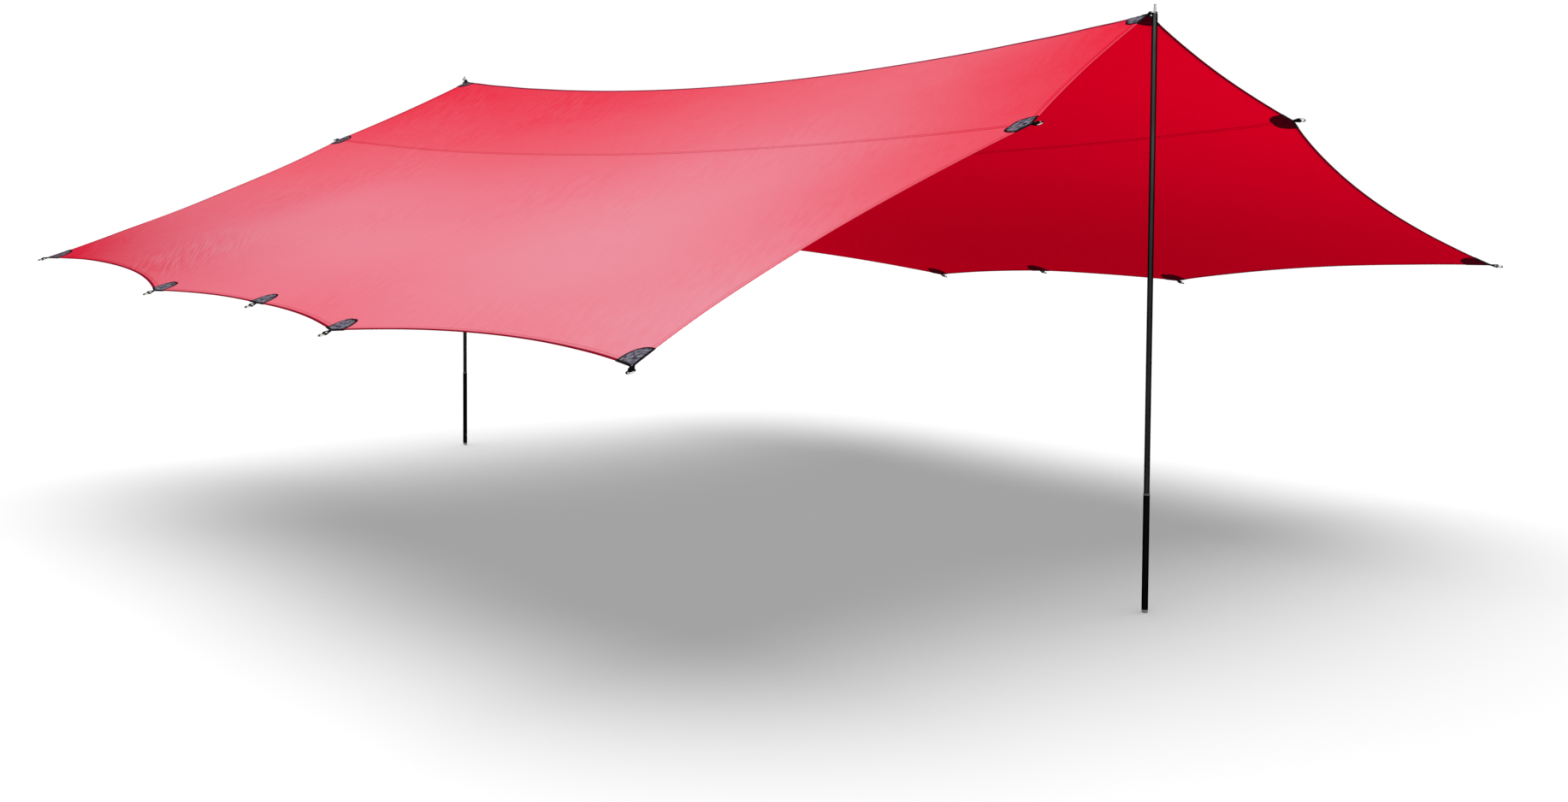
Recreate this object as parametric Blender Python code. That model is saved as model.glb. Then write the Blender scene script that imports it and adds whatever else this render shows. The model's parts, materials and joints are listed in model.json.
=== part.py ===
# Camping tarp on two poles: three cloth panels, tie-out patches with webbing loops and rings, plug-in poles.
# Metres, +Z up. The origin is on the ground midway between the poles and the ridge runs along Y.
import math

import bpy
from mathutils import Vector

# Clearance between neighbouring pieces
GAP = 0.0003

# Pole heights and places
POLE_HEIGHT = 1.86
POLE_Y = 2.153
RIDGE_STRAP = 0.0083

# Plan of the cloth
CORNER_X = 2.000
MID_SHARE = 0.3235
MID_BEYOND = 0.078
CORNER_BEYOND = 0.086
LOOP_SHARE = 0.336
LOOP_BEYOND = 0.047
LOOP_MID_INSET = 0.032
SEAM_SHARE = 0.339
MID_X = MID_SHARE * CORNER_X
MID_Y = POLE_Y + MID_BEYOND
CORNER_Y = POLE_Y + CORNER_BEYOND
LOOP_X = CORNER_X + LOOP_BEYOND
LOOP_MID_X = CORNER_X - LOOP_MID_INSET

# Heights of the tie-outs as shares of the pole height, front to rear along each side
LEFT_SHARES = {"corner": (0.4852, 0.5365), "mid": (0.8051, 0.8331), "loops": (0.4758, 0.4961, 0.4995)}
RIGHT_SHARES = {"corner": (0.5622, 0.5336), "mid": (0.8340, 0.8387), "loops": (0.4932, 0.5032, 0.4752)}

# Sags and scallops of the stretched cloth, the end edges' scallops between the ridge, mid tie-out and corner
RIDGE_SAG = 0.121
LEFT_SEAM_SAG = 0.079
RIGHT_SEAM_SAG = 0.097
SEAM_BOW = 0.0065
FRONT_LEFT_SCALLOPS = {"inner": 0.042, "outer": 0.127}
FRONT_RIGHT_SCALLOPS = {"inner": 0.019, "outer": 0.092}
REAR_SCALLOPS = {"inner": 0.003, "outer": 0.118}
SIDE_END_SCALLOP = 0.090
SIDE_MIDDLE_SCALLOP = 0.022
SIDE_END_LIFT = 0.295
SIDE_MIDDLE_LIFT = 0.287
END_BELLY = 0.078
SIDE_BELLY = 0.0435
INNER_SCALLOP_DROP = 0.068

# Cloth thicknesses and bands
CLOTH = 0.0005
HEM = 0.0011
HEM_WIDTH = 0.022
HEM_STEP = 0.003
SEAM_THICKNESS = 0.0012
SEAM_WIDTH = 0.020
PATCH_THICKNESS = 0.0017

# Patch outlines
CORNER_PATCH_FRONT = 0.090
CORNER_PATCH_SIDE = 0.092
EDGE_PATCH_HALF = 0.055
EDGE_PATCH_DEPTH = 0.079
RIDGE_PATCH_HALF = 0.062
RIDGE_PATCH_DEPTH = 0.078
PATCH_ROUNDNESS = 2.2
PATCH_RAYS = 8
PATCH_SHARES = (0.5, 1.0)
CUTTER_REACH = 0.05
CUTTER_HEIGHT = 0.008

# Webbing loops
STRAP_WIDTH = 0.014
STRAP_THICKNESS = 0.0028
STRAP_INSIDE = 0.028
STRAP_CORNER = 0.022
STRAP_EDGE = 0.020
EYE_WALL = 0.0015
EYE_SEGMENTS = 16

# Rings
RING_RADIUS = 0.01075
WIRE_RADIUS = 0.00175
RING_SEGMENTS = 20
WIRE_SEGMENTS = 6
FRONT_RING_TILT = math.radians(4)
REAR_RING_PLAY = 0.0006

# Pole tubes
TUBE_RADIUS = 0.0090
TUBE_WALL = 0.0009
TUBE_EDGE = 0.0006
OUTER_WALL = 0.0009
SLEEVE_PLAY = 0.00035
SECTION_SHARES = (0.2465, 0.5121, 0.7567)
SPIGOT_LENGTH = 0.052
SPIGOT_WALL = 0.0009
SPIGOT_TAPER = 0.0012
SPIGOT_RUNOUT = 0.0048
SLEEVE_TOP = 0.375
GUIDE_HEIGHT = 0.006
GUIDE_LIP = 0.0003
POLE_SEGMENTS = 18

# Spike in the top of a pole
SPIKE_RADIUS = 0.00375
SPIKE_NECK = 0.0026
SPIKE_BODY = 0.0195
SPIKE_HEAD = 0.024
SPIKE_HEIGHT = 0.029
SPIKE_ROUND = 0.0016
SPIKE_PLUG = 0.030
SPIKE_SEGMENTS = 16

# Foot, its pin, and the clamping plug inside the outer tube
FOOT_HEIGHT = 0.010
FOOT_BASE = 0.0066
FOOT_WAIST = 0.0088
FOOT_BEVEL = 0.0022
FOOT_PLUG_TOP = 0.065
PIN_DROP = 0.013
PIN_RADIUS = 0.0015
PIN_DEPTH = 0.0050
PIN_HEAD = 0.0026
PIN_DOME = 0.0010
PIN_DOME_RADIUS = 0.0019
PIN_DOME_RISE = 0.00075
PIN_SEGMENTS = 10
CLAMP_LENGTH = 0.020
CLAMP_GROOVE = 0.0010
CLAMP_STEM = 0.030
INSERT_PLAY = 0.013
SHAFT_BOTTOM = FOOT_PLUG_TOP + INSERT_PLAY + CLAMP_LENGTH + GAP
PIN_HEIGHT = FOOT_PLUG_TOP - PIN_DROP

# Grid of the cloth panels
CENTRE_COLUMNS = 10
WING_COLUMNS = 9
END_ROWS = 8
MIDDLE_ROWS = 4

# Edges steeper than this stay sharp
CREASE_ANGLE = math.radians(35)

# Steps of the surface's slopes, of the search along the ring, and the tolerance of a row's place
EDGE_STEP = 0.001
NORMAL_STEP = 0.004
SHOULDER_STEPS = 90
ROUNDING = 1e-6

COLOURS = {
    "cloth": ((0.78, 0.02, 0.07), 0.62, 0.0),
    "seam": ((0.70, 0.02, 0.06), 0.65, 0.0),
    "patch": ((0.085, 0.10, 0.125), 0.72, 0.0),
    "ring": ((0.72, 0.73, 0.74), 0.22, 1.0),
    "tube": ((0.022, 0.024, 0.024), 0.38, 0.6),
    "sleeve": ((0.008, 0.008, 0.009), 0.45, 0.3),
    "spike": ((0.55, 0.56, 0.57), 0.28, 1.0),
    "foot": ((0.32, 0.32, 0.32), 0.70, 0.0),
    "guide": ((0.10, 0.10, 0.105), 0.60, 0.0),
    "clamp": ((0.05, 0.05, 0.055), 0.65, 0.0),
    "pin": ((0.30, 0.30, 0.31), 0.35, 0.9),
}


def scallop(s):
    return 4 * s * (1 - s)


def blend(a, b, t):
    return a + (b - a) * t


def clamp(t, low, high):
    return max(low, min(high, t))


def heights(side):
    shares = LEFT_SHARES if side < 0 else RIGHT_SHARES
    return {kind: tuple(POLE_HEIGHT * share for share in row) for kind, row in shares.items()}


def end_scallops(side, v):
    if v >= 0:
        return REAR_SCALLOPS
    return FRONT_LEFT_SCALLOPS if side < 0 else FRONT_RIGHT_SCALLOPS


def side_edge(side, v):
    # Outer edge: straight between neighbouring tie-outs, then drawn in by its scallops.
    h = heights(side)
    loop = LOOP_SHARE
    knots = (-1.0, -loop, 0.0, loop, 1.0)
    xs = (CORNER_X, LOOP_X, LOOP_MID_X, LOOP_X, CORNER_X)
    zs = (h["corner"][0],) + h["loops"] + (h["corner"][1],)
    k = 0
    while k < len(knots) - 2 and v > knots[k + 1]:
        k += 1
    s = (v - knots[k]) / (knots[k + 1] - knots[k])
    outer = k in (0, len(knots) - 2)
    depth = (SIDE_END_SCALLOP if outer else SIDE_MIDDLE_SCALLOP) * scallop(s)
    lift = SIDE_END_LIFT if outer else SIDE_MIDDLE_LIFT
    return blend(xs[k], xs[k + 1], s) - depth, blend(zs[k], zs[k + 1], s) + lift * depth


def inner_surface(side, u, v):
    # u is 0 at the ridge and 1 at the side edge, v is -1 at the front edge and +1 at the rear edge.
    share = SEAM_SHARE
    depth = end_scallops(side, v)
    inner = u <= share
    if inner:
        a = u / share
        inset = depth["inner"] * scallop(a)
        reach = blend(POLE_Y - ridge_inset(), MID_Y, a) - inset
        drop = INNER_SCALLOP_DROP * inset
    else:
        b = (u - share) / (1 - share)
        reach = blend(MID_Y, CORNER_Y, b) - depth["outer"] * scallop(b)
        drop = 0.0
    middle = 1 - v * v
    ridge_z = POLE_HEIGHT - RIDGE_SAG * middle
    mid = heights(side)["mid"]
    seam_x = MID_X + SEAM_BOW * middle
    seam_z = blend(mid[0], mid[1], (v + 1) / 2) - (LEFT_SEAM_SAG if side < 0 else RIGHT_SEAM_SAG) * middle
    edge_x, edge_z = side_edge(side, v)
    at_ridge = (u - share) * (u - 1) / share
    at_seam = u * (u - 1) / (share * (share - 1))
    at_edge = u * (u - share) / (1 - share)
    belly = u * (u - share) * (1 - u)
    x = at_seam * seam_x + at_edge * edge_x + SIDE_BELLY * belly
    z = at_ridge * ridge_z + at_seam * seam_z + at_edge * edge_z + END_BELLY * v * v * belly - drop * v * v
    return Vector((side * x, v * reach, z))


def surface(side, u, v):
    # The cloth's middle surface, carried straight on past its edges.
    step = EDGE_STEP
    inside_u, inside_v = clamp(u, 0, 1), clamp(v, -1, 1)
    point = inner_surface(side, inside_u, inside_v)
    if u > 1:
        point += (point - inner_surface(side, 1 - step, inside_v)) * ((u - 1) / step)
    if abs(v) > 1:
        back = inner_surface(side, inside_u, inside_v * (1 - step))
        point += (inner_surface(side, inside_u, inside_v) - back) * ((abs(v) - 1) / step)
    return point


def normal(side, u, v):
    # Upward normal; on the ridge the two slopes are averaged.
    step = NORMAL_STEP
    low, high = clamp(u - step, 0, 1), clamp(u + step, 0, 1)
    back, ahead = clamp(v - step, -1, 1), clamp(v + step, -1, 1)
    across = surface(side, high, clamp(v, -1, 1)) - surface(side, low, clamp(v, -1, 1))
    along = surface(side, clamp(u, 0, 1), ahead) - surface(side, clamp(u, 0, 1), back)
    n = across.cross(along) * side
    if u <= 0:
        n.x = 0
    n = n if n.z > 0 else -n
    return n.normalized()


def material(kind):
    colour, roughness, metallic = COLOURS[kind]
    made = bpy.data.materials.get(kind) or bpy.data.materials.new(kind)
    made.use_nodes = True
    shader = made.node_tree.nodes["Principled BSDF"]
    shader.inputs["Base Color"].default_value = (*colour, 1)
    shader.inputs["Roughness"].default_value = roughness
    shader.inputs["Metallic"].default_value = metallic
    made.diffuse_color = (*colour, 1)
    return made


def mesh_object(name, points, faces, kind, origin=(0, 0, 0), smooth=False):
    origin = Vector(origin)
    mesh = bpy.data.meshes.new(name)
    mesh.from_pydata([tuple(Vector(p) - origin) for p in points], [], faces)
    mesh.validate()
    made = bpy.data.objects.new(name, mesh)
    made.location = origin
    bpy.context.scene.collection.objects.link(made)
    mesh.materials.append(material(kind))
    for face in mesh.polygons:
        face.use_smooth = smooth
    return made


def boolean(target, tool, operation):
    # Applies an exact Boolean and removes the tool.
    change = target.modifiers.new(operation, "BOOLEAN")
    change.operation = operation
    change.solver = "EXACT"
    change.object = tool
    bpy.context.view_layer.update()
    result = bpy.data.meshes.new_from_object(target.evaluated_get(bpy.context.evaluated_depsgraph_get()))
    target.modifiers.clear()
    old = target.data
    target.data = result
    result.name = target.name
    bpy.data.meshes.remove(old)
    bpy.data.objects.remove(tool)


def rows():
    # Row positions from front to rear, with the hem's two rows at each end.
    loop = LOOP_SHARE
    band, step = HEM_WIDTH / CORNER_Y, HEM_STEP / CORNER_Y
    end = [-1 + (1 - loop) * k / END_ROWS for k in range(1, END_ROWS)]
    middle = [-loop + loop * k / MIDDLE_ROWS for k in range(MIDDLE_ROWS + 1)]
    half = [-1.0, -1 + band, -1 + band + step] + end + middle
    return half + [-v for v in reversed(half[:-1])]


def columns(low, high, count):
    return [blend(low, high, k / count) for k in range(count + 1)]


def sheet(name, us, thickness, kind, origin):
    # A closed sheet over signed columns us: negative is the left half.
    vs = rows()
    points, faces = [], []
    for face_side in (1, -1):
        for v in vs:
            for signed in us:
                side = -1 if signed < 0 else 1
                u = abs(signed)
                half = thickness(u, v) / 2
                points.append(surface(side, u, v) + normal(side, u, v) * half * face_side)
    width, count = len(us), len(us) * len(vs)

    def index(layer, row, column):
        return layer * count + row * width + column

    for r in range(len(vs) - 1):
        for c in range(width - 1):
            a, b = index(0, r, c), index(0, r, c + 1)
            d, e = index(0, r + 1, c), index(0, r + 1, c + 1)
            faces.append((a, b, e, d))
            faces.append((a + count, d + count, e + count, b + count))
    rim = [index(0, 0, c) for c in range(width)]
    rim += [index(0, r, width - 1) for r in range(1, len(vs))]
    rim += [index(0, len(vs) - 1, c) for c in range(width - 2, -1, -1)]
    rim += [index(0, r, 0) for r in range(len(vs) - 2, 0, -1)]
    for k, a in enumerate(rim):
        b = rim[(k + 1) % len(rim)]
        faces.append((b, a, a + count, b + count))
    made = mesh_object(name, points, faces, kind, origin, smooth=True)
    made.data.set_sharp_from_angle(angle=CREASE_ANGLE)
    return made


def panel_thickness(u, v):
    hem_u, hem_v = HEM_WIDTH / unit_across(), HEM_WIDTH / CORNER_Y
    hemmed = u >= 1 - hem_u - ROUNDING or abs(v) >= 1 - hem_v - ROUNDING
    return HEM if hemmed else CLOTH


def seam_thickness(u, v):
    return SEAM_THICKNESS


def unit_across():
    # Cloth length of one unit of u, from the ridge to the seam at the pole.
    seam = Vector((MID_X, MID_Y, heights(-1)["mid"][0]))
    return (seam - Vector((0, POLE_Y, POLE_HEIGHT))).length / SEAM_SHARE


def hinge_ends(side):
    mid = heights(side)["mid"]
    return Vector((side * MID_X, -MID_Y, mid[0])), Vector((side * MID_X, MID_Y, mid[1]))


def wing_origin(side):
    front, rear = hinge_ends(side)
    return (front + rear) / 2


def canopy_panels():
    half = SEAM_WIDTH / 2 / unit_across()
    gap = GAP / unit_across()
    inner, outer = SEAM_SHARE - half - gap, SEAM_SHARE + half + gap
    hem = HEM_WIDTH / unit_across()
    step = HEM_STEP / unit_across()
    right = columns(0, inner, CENTRE_COLUMNS // 2)
    both = [-u for u in reversed(right[1:])] + right
    made = {"centre": sheet("centre_panel", both, panel_thickness, "cloth", (0, 0, 0))}
    for side, word in ((-1, "left"), (1, "right")):
        us = columns(outer, 1 - hem - step, WING_COLUMNS) + [1 - hem, 1.0]
        strip = [SEAM_SHARE - half, SEAM_SHARE + half]
        if side < 0:
            us = [-u for u in reversed(us)]
            strip = [-u for u in reversed(strip)]
        made[word] = sheet(word + "_panel", us, panel_thickness, "cloth", wing_origin(side))
        made[word + "_seam"] = sheet(word + "_seam", strip, seam_thickness, "seam", (0, 0, 0))
    return made


def patch_place(tie, a, b):
    # Cloth coordinates of a point a along the edge and b into the cloth from the tie-out.
    across, along = unit_across(), CORNER_Y
    kind, side, end, v0 = tie["kind"], tie["side"], tie["end"], tie["v"]
    if kind == "side":
        return side, 1 - b / across, v0 + a / along
    if kind == "mid":
        return side, SEAM_SHARE + a / across, end * (1 - b / along)
    if kind == "ridge":
        return (-1 if a < 0 else 1), abs(a) / across, end * (1 - b / along)
    return side, 1 - a / across, end * (1 - b / along)


def arc(along, depth, start, stop):
    points = []
    for k in range(PATCH_RAYS + 1):
        t = blend(start, stop, k / PATCH_RAYS)
        c, s = math.cos(t), math.sin(t)
        power = 2 / PATCH_ROUNDNESS
        points.append((math.copysign(abs(c) ** power, c) * along, abs(s) ** power * depth))
    return points


def patch_outline(tie, grow):
    # Outline from the tie-out's edge round into the cloth, and the loop that closes it outside the edge.
    reach = CUTTER_REACH
    if tie["kind"] == "corner":
        along, depth = CORNER_PATCH_FRONT + grow, CORNER_PATCH_SIDE + grow
        line = arc(along, depth, 0, math.pi / 2)
        return line, [(-reach, depth), (-reach, -reach), (along, -reach)]
    ridge = tie["kind"] == "ridge"
    along = (RIDGE_PATCH_HALF if ridge else EDGE_PATCH_HALF) + grow
    depth = (RIDGE_PATCH_DEPTH if ridge else EDGE_PATCH_DEPTH) + grow
    line = arc(along, depth, 0, math.pi)
    if ridge:
        middle = PATCH_RAYS // 2
        line[middle] = (0, depth)
        return line, [(-along, -reach), (0, -reach), (along, -reach)]
    return line, [(-along, -reach), (along, -reach)]


def fan(name, tie, outline, closed, thickness, kind):
    # A slab over the cloth's surface, as rays from the tie-out to its outline.
    shares = PATCH_SHARES
    base = [(0.0, 0.0)] + [(a * r, b * r) for a, b in outline for r in shares]
    points = []
    for face_side in (1, -1):
        for a, b in base:
            side, u, v = patch_place(tie, a, b)
            points.append(surface(side, u, v) + normal(side, u, v) * thickness / 2 * face_side)
    count, rings, rays = len(base), len(shares), len(outline)
    faces = []
    last = rays if closed else rays - 1

    def at(ray, ring):
        return 1 + (ray % rays) * rings + ring

    for k in range(last):
        faces.append((0, at(k, 0), at(k + 1, 0)))
        faces.append((count, count + at(k + 1, 0), count + at(k, 0)))
        for r in range(rings - 1):
            quad = (at(k, r), at(k, r + 1), at(k + 1, r + 1), at(k + 1, r))
            faces.append(quad)
            faces.append(tuple(count + q for q in reversed(quad)))
        a, b = at(k, rings - 1), at(k + 1, rings - 1)
        faces.append((b, a, a + count, b + count))
    if not closed:
        first = [0] + [at(0, r) for r in range(rings)]
        final = [0] + [at(rays - 1, r) for r in range(rings)]
        for a, b in zip(first, first[1:]):
            faces.append((b, a, a + count, b + count))
        for a, b in zip(final, final[1:]):
            faces.append((a, b, b + count, a + count))
    made = mesh_object(name, points, faces, kind)
    face_outwards(made)
    return made


def face_outwards(made):
    # Turns a closed mesh the right way out by the sign of its volume.
    volume = 0.0
    mesh = made.data
    for face in mesh.polygons:
        corners = [mesh.vertices[k].co for k in face.vertices]
        for b, c in zip(corners[1:], corners[2:]):
            volume += corners[0].dot(b.cross(c))
    if volume < 0:
        mesh.flip_normals()


def extrude(name, outline, direction, kind):
    # A prism over a planar outline, centred on the outline's plane.
    half = Vector(direction) / 2
    count = len(outline)
    points = [p - half for p in outline] + [p + half for p in outline]
    faces = [tuple(range(count - 1, -1, -1)), tuple(range(count, 2 * count))]
    for k in range(count):
        following = (k + 1) % count
        faces.append((k, following, following + count, k + count))
    made = mesh_object(name, points, faces, kind)
    face_outwards(made)
    return made


def strap_outline(tie):
    # Side view of the webbing: a leg sewn to the patch, then the free part, ending in a round eye.
    foot, start, eye, up = tie["inside"], tie["point"], tie["eye"], tie["normal"]
    half = STRAP_THICKNESS / 2
    pull = (eye - start).normalized()
    above = tie["tangent"].cross(pull).normalized()
    above = above if above.dot(up) > 0 else -above
    radius = eye_radius()
    meet = math.asin(half / radius)
    points = [foot + up * half, start + (up + above).normalized() * half]
    steps = EYE_SEGMENTS
    for k in range(steps + 1):
        t = blend(math.pi - meet, -math.pi + meet, k / steps)
        points.append(eye + pull * radius * math.cos(t) + above * radius * math.sin(t))
    points += [start - (up + above).normalized() * half, foot - up * half]
    return points


def tie_out(name, kind, side, end, v):
    # Frame of one tie-out: its point on the edge, directions, and the centre of its webbing eye.
    tie = {"name": name, "kind": kind, "side": side, "end": end, "v": v}
    where = patch_place(tie, 0, 0)
    tie["point"] = surface(*where)
    inward = {"corner": (STRAP_INSIDE / 2 ** 0.5,) * 2}.get(kind, (0, STRAP_INSIDE))
    tie["inside"] = surface(*patch_place(tie, *inward))
    up = normal(*patch_place(tie, inward[0] / 2, inward[1] / 2))
    outward = (tie["point"] - tie["inside"]).normalized()
    if kind in ("side", "mid", "ridge"):
        straight = Vector((side if kind == "side" else 0, 0 if kind == "side" else end, 0))
        outward = (straight - up * straight.dot(up)).normalized()
        tie["inside"] = tie["point"] - outward * STRAP_INSIDE
    tie["tangent"] = outward.cross(up).normalized()
    tie["normal"] = tie["tangent"].cross(outward).normalized()
    tie["normal"] = tie["normal"] if tie["normal"].z > 0 else -tie["normal"]
    if kind == "ridge":
        eye, pull = ridge_eye(end)
    else:
        pull = outward
        eye = tie["point"] + pull * (STRAP_CORNER if kind == "corner" else STRAP_EDGE)
    tie["eye"], tie["pull"] = eye, pull
    return tie


def wire_span():
    # Nearest and farthest reach of the wire from the ring's centre, within the webbing's width.
    inside = (RING_RADIUS - WIRE_RADIUS) * math.cos(math.pi / RING_SEGMENTS)
    return math.sqrt(inside ** 2 - (STRAP_WIDTH / 2) ** 2), RING_RADIUS + WIRE_RADIUS


def eye_offset():
    # From the ring's centre to the eye's axis.
    near, far = wire_span()
    return (near + far) / 2


def eye_bore():
    # Bore that the bowed wire turns in, measured to the corners of its facets.
    near, far = wire_span()
    return ((far - near) / 2 + GAP) / math.cos(math.pi / EYE_SEGMENTS)


def eye_radius():
    return eye_bore() + EYE_WALL


def shoulder_clearance(tilt, rise):
    # Least gap between the ring's wire and the pole's shoulder, the ring's outer side at this rise.
    centre = RING_RADIUS * math.cos(tilt) - (SPIKE_RADIUS + GAP + WIRE_RADIUS)
    least = rise
    steps = SHOULDER_STEPS
    for k in range(steps + 1):
        t = math.pi * k / steps
        across = RING_RADIUS * math.sin(t)
        inward = centre - RING_RADIUS * math.cos(t) * math.cos(tilt)
        height = rise - RING_RADIUS * (1 - math.cos(t)) * math.sin(tilt)
        beyond = max(0.0, math.hypot(across, inward) - TUBE_RADIUS)
        below = max(0.0, -height)
        distance = math.hypot(beyond, height) if height > 0 else (beyond if beyond else -below)
        least = min(least, distance - WIRE_RADIUS)
    return least


def ridge_inset():
    # From the pole's axis to the cloth's edge, past the front ring that lies against the spike.
    return RING_RADIUS + eye_offset() - SPIKE_RADIUS - GAP - WIRE_RADIUS + RIDGE_STRAP


def edge_clearance(inward, height):
    # Gap between the webbing's eye and the bevelled top edge of the pole.
    corner, bevel = Vector((TUBE_RADIUS - TUBE_EDGE, 0)), Vector((TUBE_EDGE, -TUBE_EDGE))
    away = Vector((inward, height)) - corner
    share = clamp(away.dot(bevel) / bevel.length_squared, 0, 1)
    return (away - bevel * share).length - eye_radius()


def ridge_eye(end):
    # Eye and ring direction at a pole: the front ring lies on the shoulder, the rear one stands up.
    reach = RING_RADIUS + eye_offset()
    if end < 0:
        tilt = FRONT_RING_TILT
        inward = reach * math.cos(tilt) - (SPIKE_RADIUS + GAP + WIRE_RADIUS)
        rise, step = WIRE_RADIUS, GAP / 2
        height = rise - reach * math.sin(tilt)
        while min(shoulder_clearance(tilt, rise), edge_clearance(inward, height)) < GAP:
            rise += step
            height += step
    else:
        inward = SPIKE_RADIUS + GAP + eye_radius()
        height = GAP + eye_radius()
        tilt = math.acos((inward + SPIKE_RADIUS + REAR_RING_PLAY + WIRE_RADIUS) / reach)
    eye = Vector((0, end * (POLE_Y - inward), POLE_HEIGHT + height))
    pull = Vector((0, end * math.cos(tilt), math.sin(tilt)))
    return eye, pull


def tie_outs():
    loop = LOOP_SHARE
    ends = ((-1, "front"), (1, "rear"))
    sides = ((-1, "left"), (1, "right"))
    ties = [tie_out(word + "_ridge", "ridge", 1, end, end) for end, word in ends]
    for end, end_word in ends:
        for side, side_word in sides:
            ties.append(tie_out(f"{end_word}_{side_word}_mid", "mid", side, end, end))
            ties.append(tie_out(f"{end_word}_{side_word}_corner", "corner", side, end, end))
    for side, side_word in sides:
        for v, word in ((-loop, "front"), (0.0, "middle"), (loop, "rear")):
            ties.append(tie_out(f"{side_word}_side_{word}", "side", side, 0, v))
    return ties


def patch(tie, panels):
    # Patch and webbing loop in one piece; the panels and seams beneath are cut back to its outline.
    line, _ = patch_outline(tie, 0)
    made = fan(tie["name"] + "_patch", tie, line, False, PATCH_THICKNESS, "patch")
    strap = extrude("strap", strap_outline(tie), tie["tangent"] * STRAP_WIDTH, "patch")
    boolean(made, strap, "UNION")
    pin = cylinder("bore", tie["eye"], tie["tangent"], eye_bore(), STRAP_WIDTH * 2, EYE_SEGMENTS)
    boolean(made, pin, "DIFFERENCE")
    below = {"ridge": ("centre",), "mid": ("centre", "left", "left_seam")}
    for key in below.get(tie["kind"], ("left",)):
        key = key if tie["side"] < 0 else key.replace("left", "right")
        line, beyond = patch_outline(tie, GAP)
        cutter = fan("cutter", tie, line + beyond, True, CUTTER_HEIGHT, "patch")
        boolean(panels[key], cutter, "DIFFERENCE")
    return made


def cylinder(name, centre, axis, radius, length, segments):
    axis = Vector(axis).normalized()
    first = axis.orthogonal().normalized()
    second = axis.cross(first)
    outline = []
    for k in range(segments):
        t = 2 * math.pi * k / segments
        outline.append(Vector(centre) + first * radius * math.cos(t) + second * radius * math.sin(t))
    return extrude(name, outline, axis * length, "patch")


def ring(tie):
    # A wire ring whose origin is on the eye's axis, so that it swings there.
    pull, tangent = tie["pull"], tie["tangent"]
    centre = tie["eye"] + pull * eye_offset()
    up = tangent.cross(pull).normalized()
    points, faces = [], []
    for k in range(RING_SEGMENTS):
        t = 2 * math.pi * (k + 0.5) / RING_SEGMENTS
        spoke = pull * math.cos(t) + tangent * math.sin(t)
        for j in range(WIRE_SEGMENTS):
            p = 2 * math.pi * j / WIRE_SEGMENTS
            reach = RING_RADIUS + WIRE_RADIUS * math.cos(p)
            points.append(centre + spoke * reach + up * WIRE_RADIUS * math.sin(p))
    for k in range(RING_SEGMENTS):
        ahead = (k + 1) % RING_SEGMENTS
        for j in range(WIRE_SEGMENTS):
            following = (j + 1) % WIRE_SEGMENTS
            faces.append((k * WIRE_SEGMENTS + j, ahead * WIRE_SEGMENTS + j,
                          ahead * WIRE_SEGMENTS + following, k * WIRE_SEGMENTS + following))
    made = mesh_object(tie["name"] + "_ring", points, faces, "ring", tie["eye"], smooth=True)
    face_outwards(made)
    return made


def lathe(name, profile, place, kind, segments=POLE_SEGMENTS):
    # Turns a closed profile of radius and height about a vertical axis at place.
    points, rings, faces = [], [], []
    for radius, height in profile:
        if radius == 0:
            rings.append([len(points)] * segments)
            points.append(Vector((place[0], place[1], height)))
            continue
        rings.append(list(range(len(points), len(points) + segments)))
        for k in range(segments):
            t = 2 * math.pi * k / segments
            points.append(Vector((place[0] + radius * math.cos(t), place[1] + radius * math.sin(t), height)))
    hollow = all(radius > 0 for radius, _ in profile)
    pairs = list(zip(rings, rings[1:])) + ([(rings[-1], rings[0])] if hollow else [])
    for low, high in pairs:
        for k in range(segments):
            ahead = (k + 1) % segments
            corners = tuple(dict.fromkeys((low[k], low[ahead], high[ahead], high[k])))
            if len(corners) > 2:
                faces.append(corners)
    made = mesh_object(name, points, faces, kind, (place[0], place[1], profile[0][1]), smooth=True)
    face_outwards(made)
    made.data.set_sharp_from_angle(angle=CREASE_ANGLE)
    return made


def shaft(name, bottom, top, spigot, place):
    # One tube of a pole, open below, with a spigot above that plugs into the next tube.
    bore = TUBE_RADIUS - TUBE_WALL
    edge = TUBE_EDGE
    profile = [(TUBE_RADIUS - edge, bottom), (TUBE_RADIUS, bottom + edge), (TUBE_RADIUS, top - edge)]
    profile.append((TUBE_RADIUS - edge, top))
    if spigot:
        radius = bore - GAP
        hollow = radius - SPIGOT_WALL
        end = top + SPIGOT_LENGTH
        profile += [(radius, top), (radius, end - SPIGOT_TAPER), (radius - SPIGOT_TAPER / 2, end)]
        profile += [(hollow, end), (hollow, top - SPIGOT_TAPER), (bore, top - SPIGOT_RUNOUT)]
    else:
        profile.append((bore, top))
    profile.append((bore, bottom))
    return lathe(name, profile, place, "tube")


def tip_spike(name, place):
    top = POLE_HEIGHT
    plug = TUBE_RADIUS - TUBE_WALL - GAP
    head = top + SPIKE_HEIGHT
    profile = [(0, top - SPIKE_PLUG), (plug, top - SPIKE_PLUG), (plug, top), (SPIKE_RADIUS, top),
               (SPIKE_RADIUS, top + SPIKE_BODY - SPIKE_ROUND / 2), (SPIKE_NECK, top + SPIKE_BODY),
               (SPIKE_NECK, top + SPIKE_HEAD - SPIKE_ROUND / 2), (SPIKE_RADIUS, top + SPIKE_HEAD),
               (SPIKE_RADIUS, head - SPIKE_ROUND), (SPIKE_RADIUS - SPIKE_ROUND, head), (0, head)]
    return lathe(name, profile, place, "spike", SPIKE_SEGMENTS)


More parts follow.
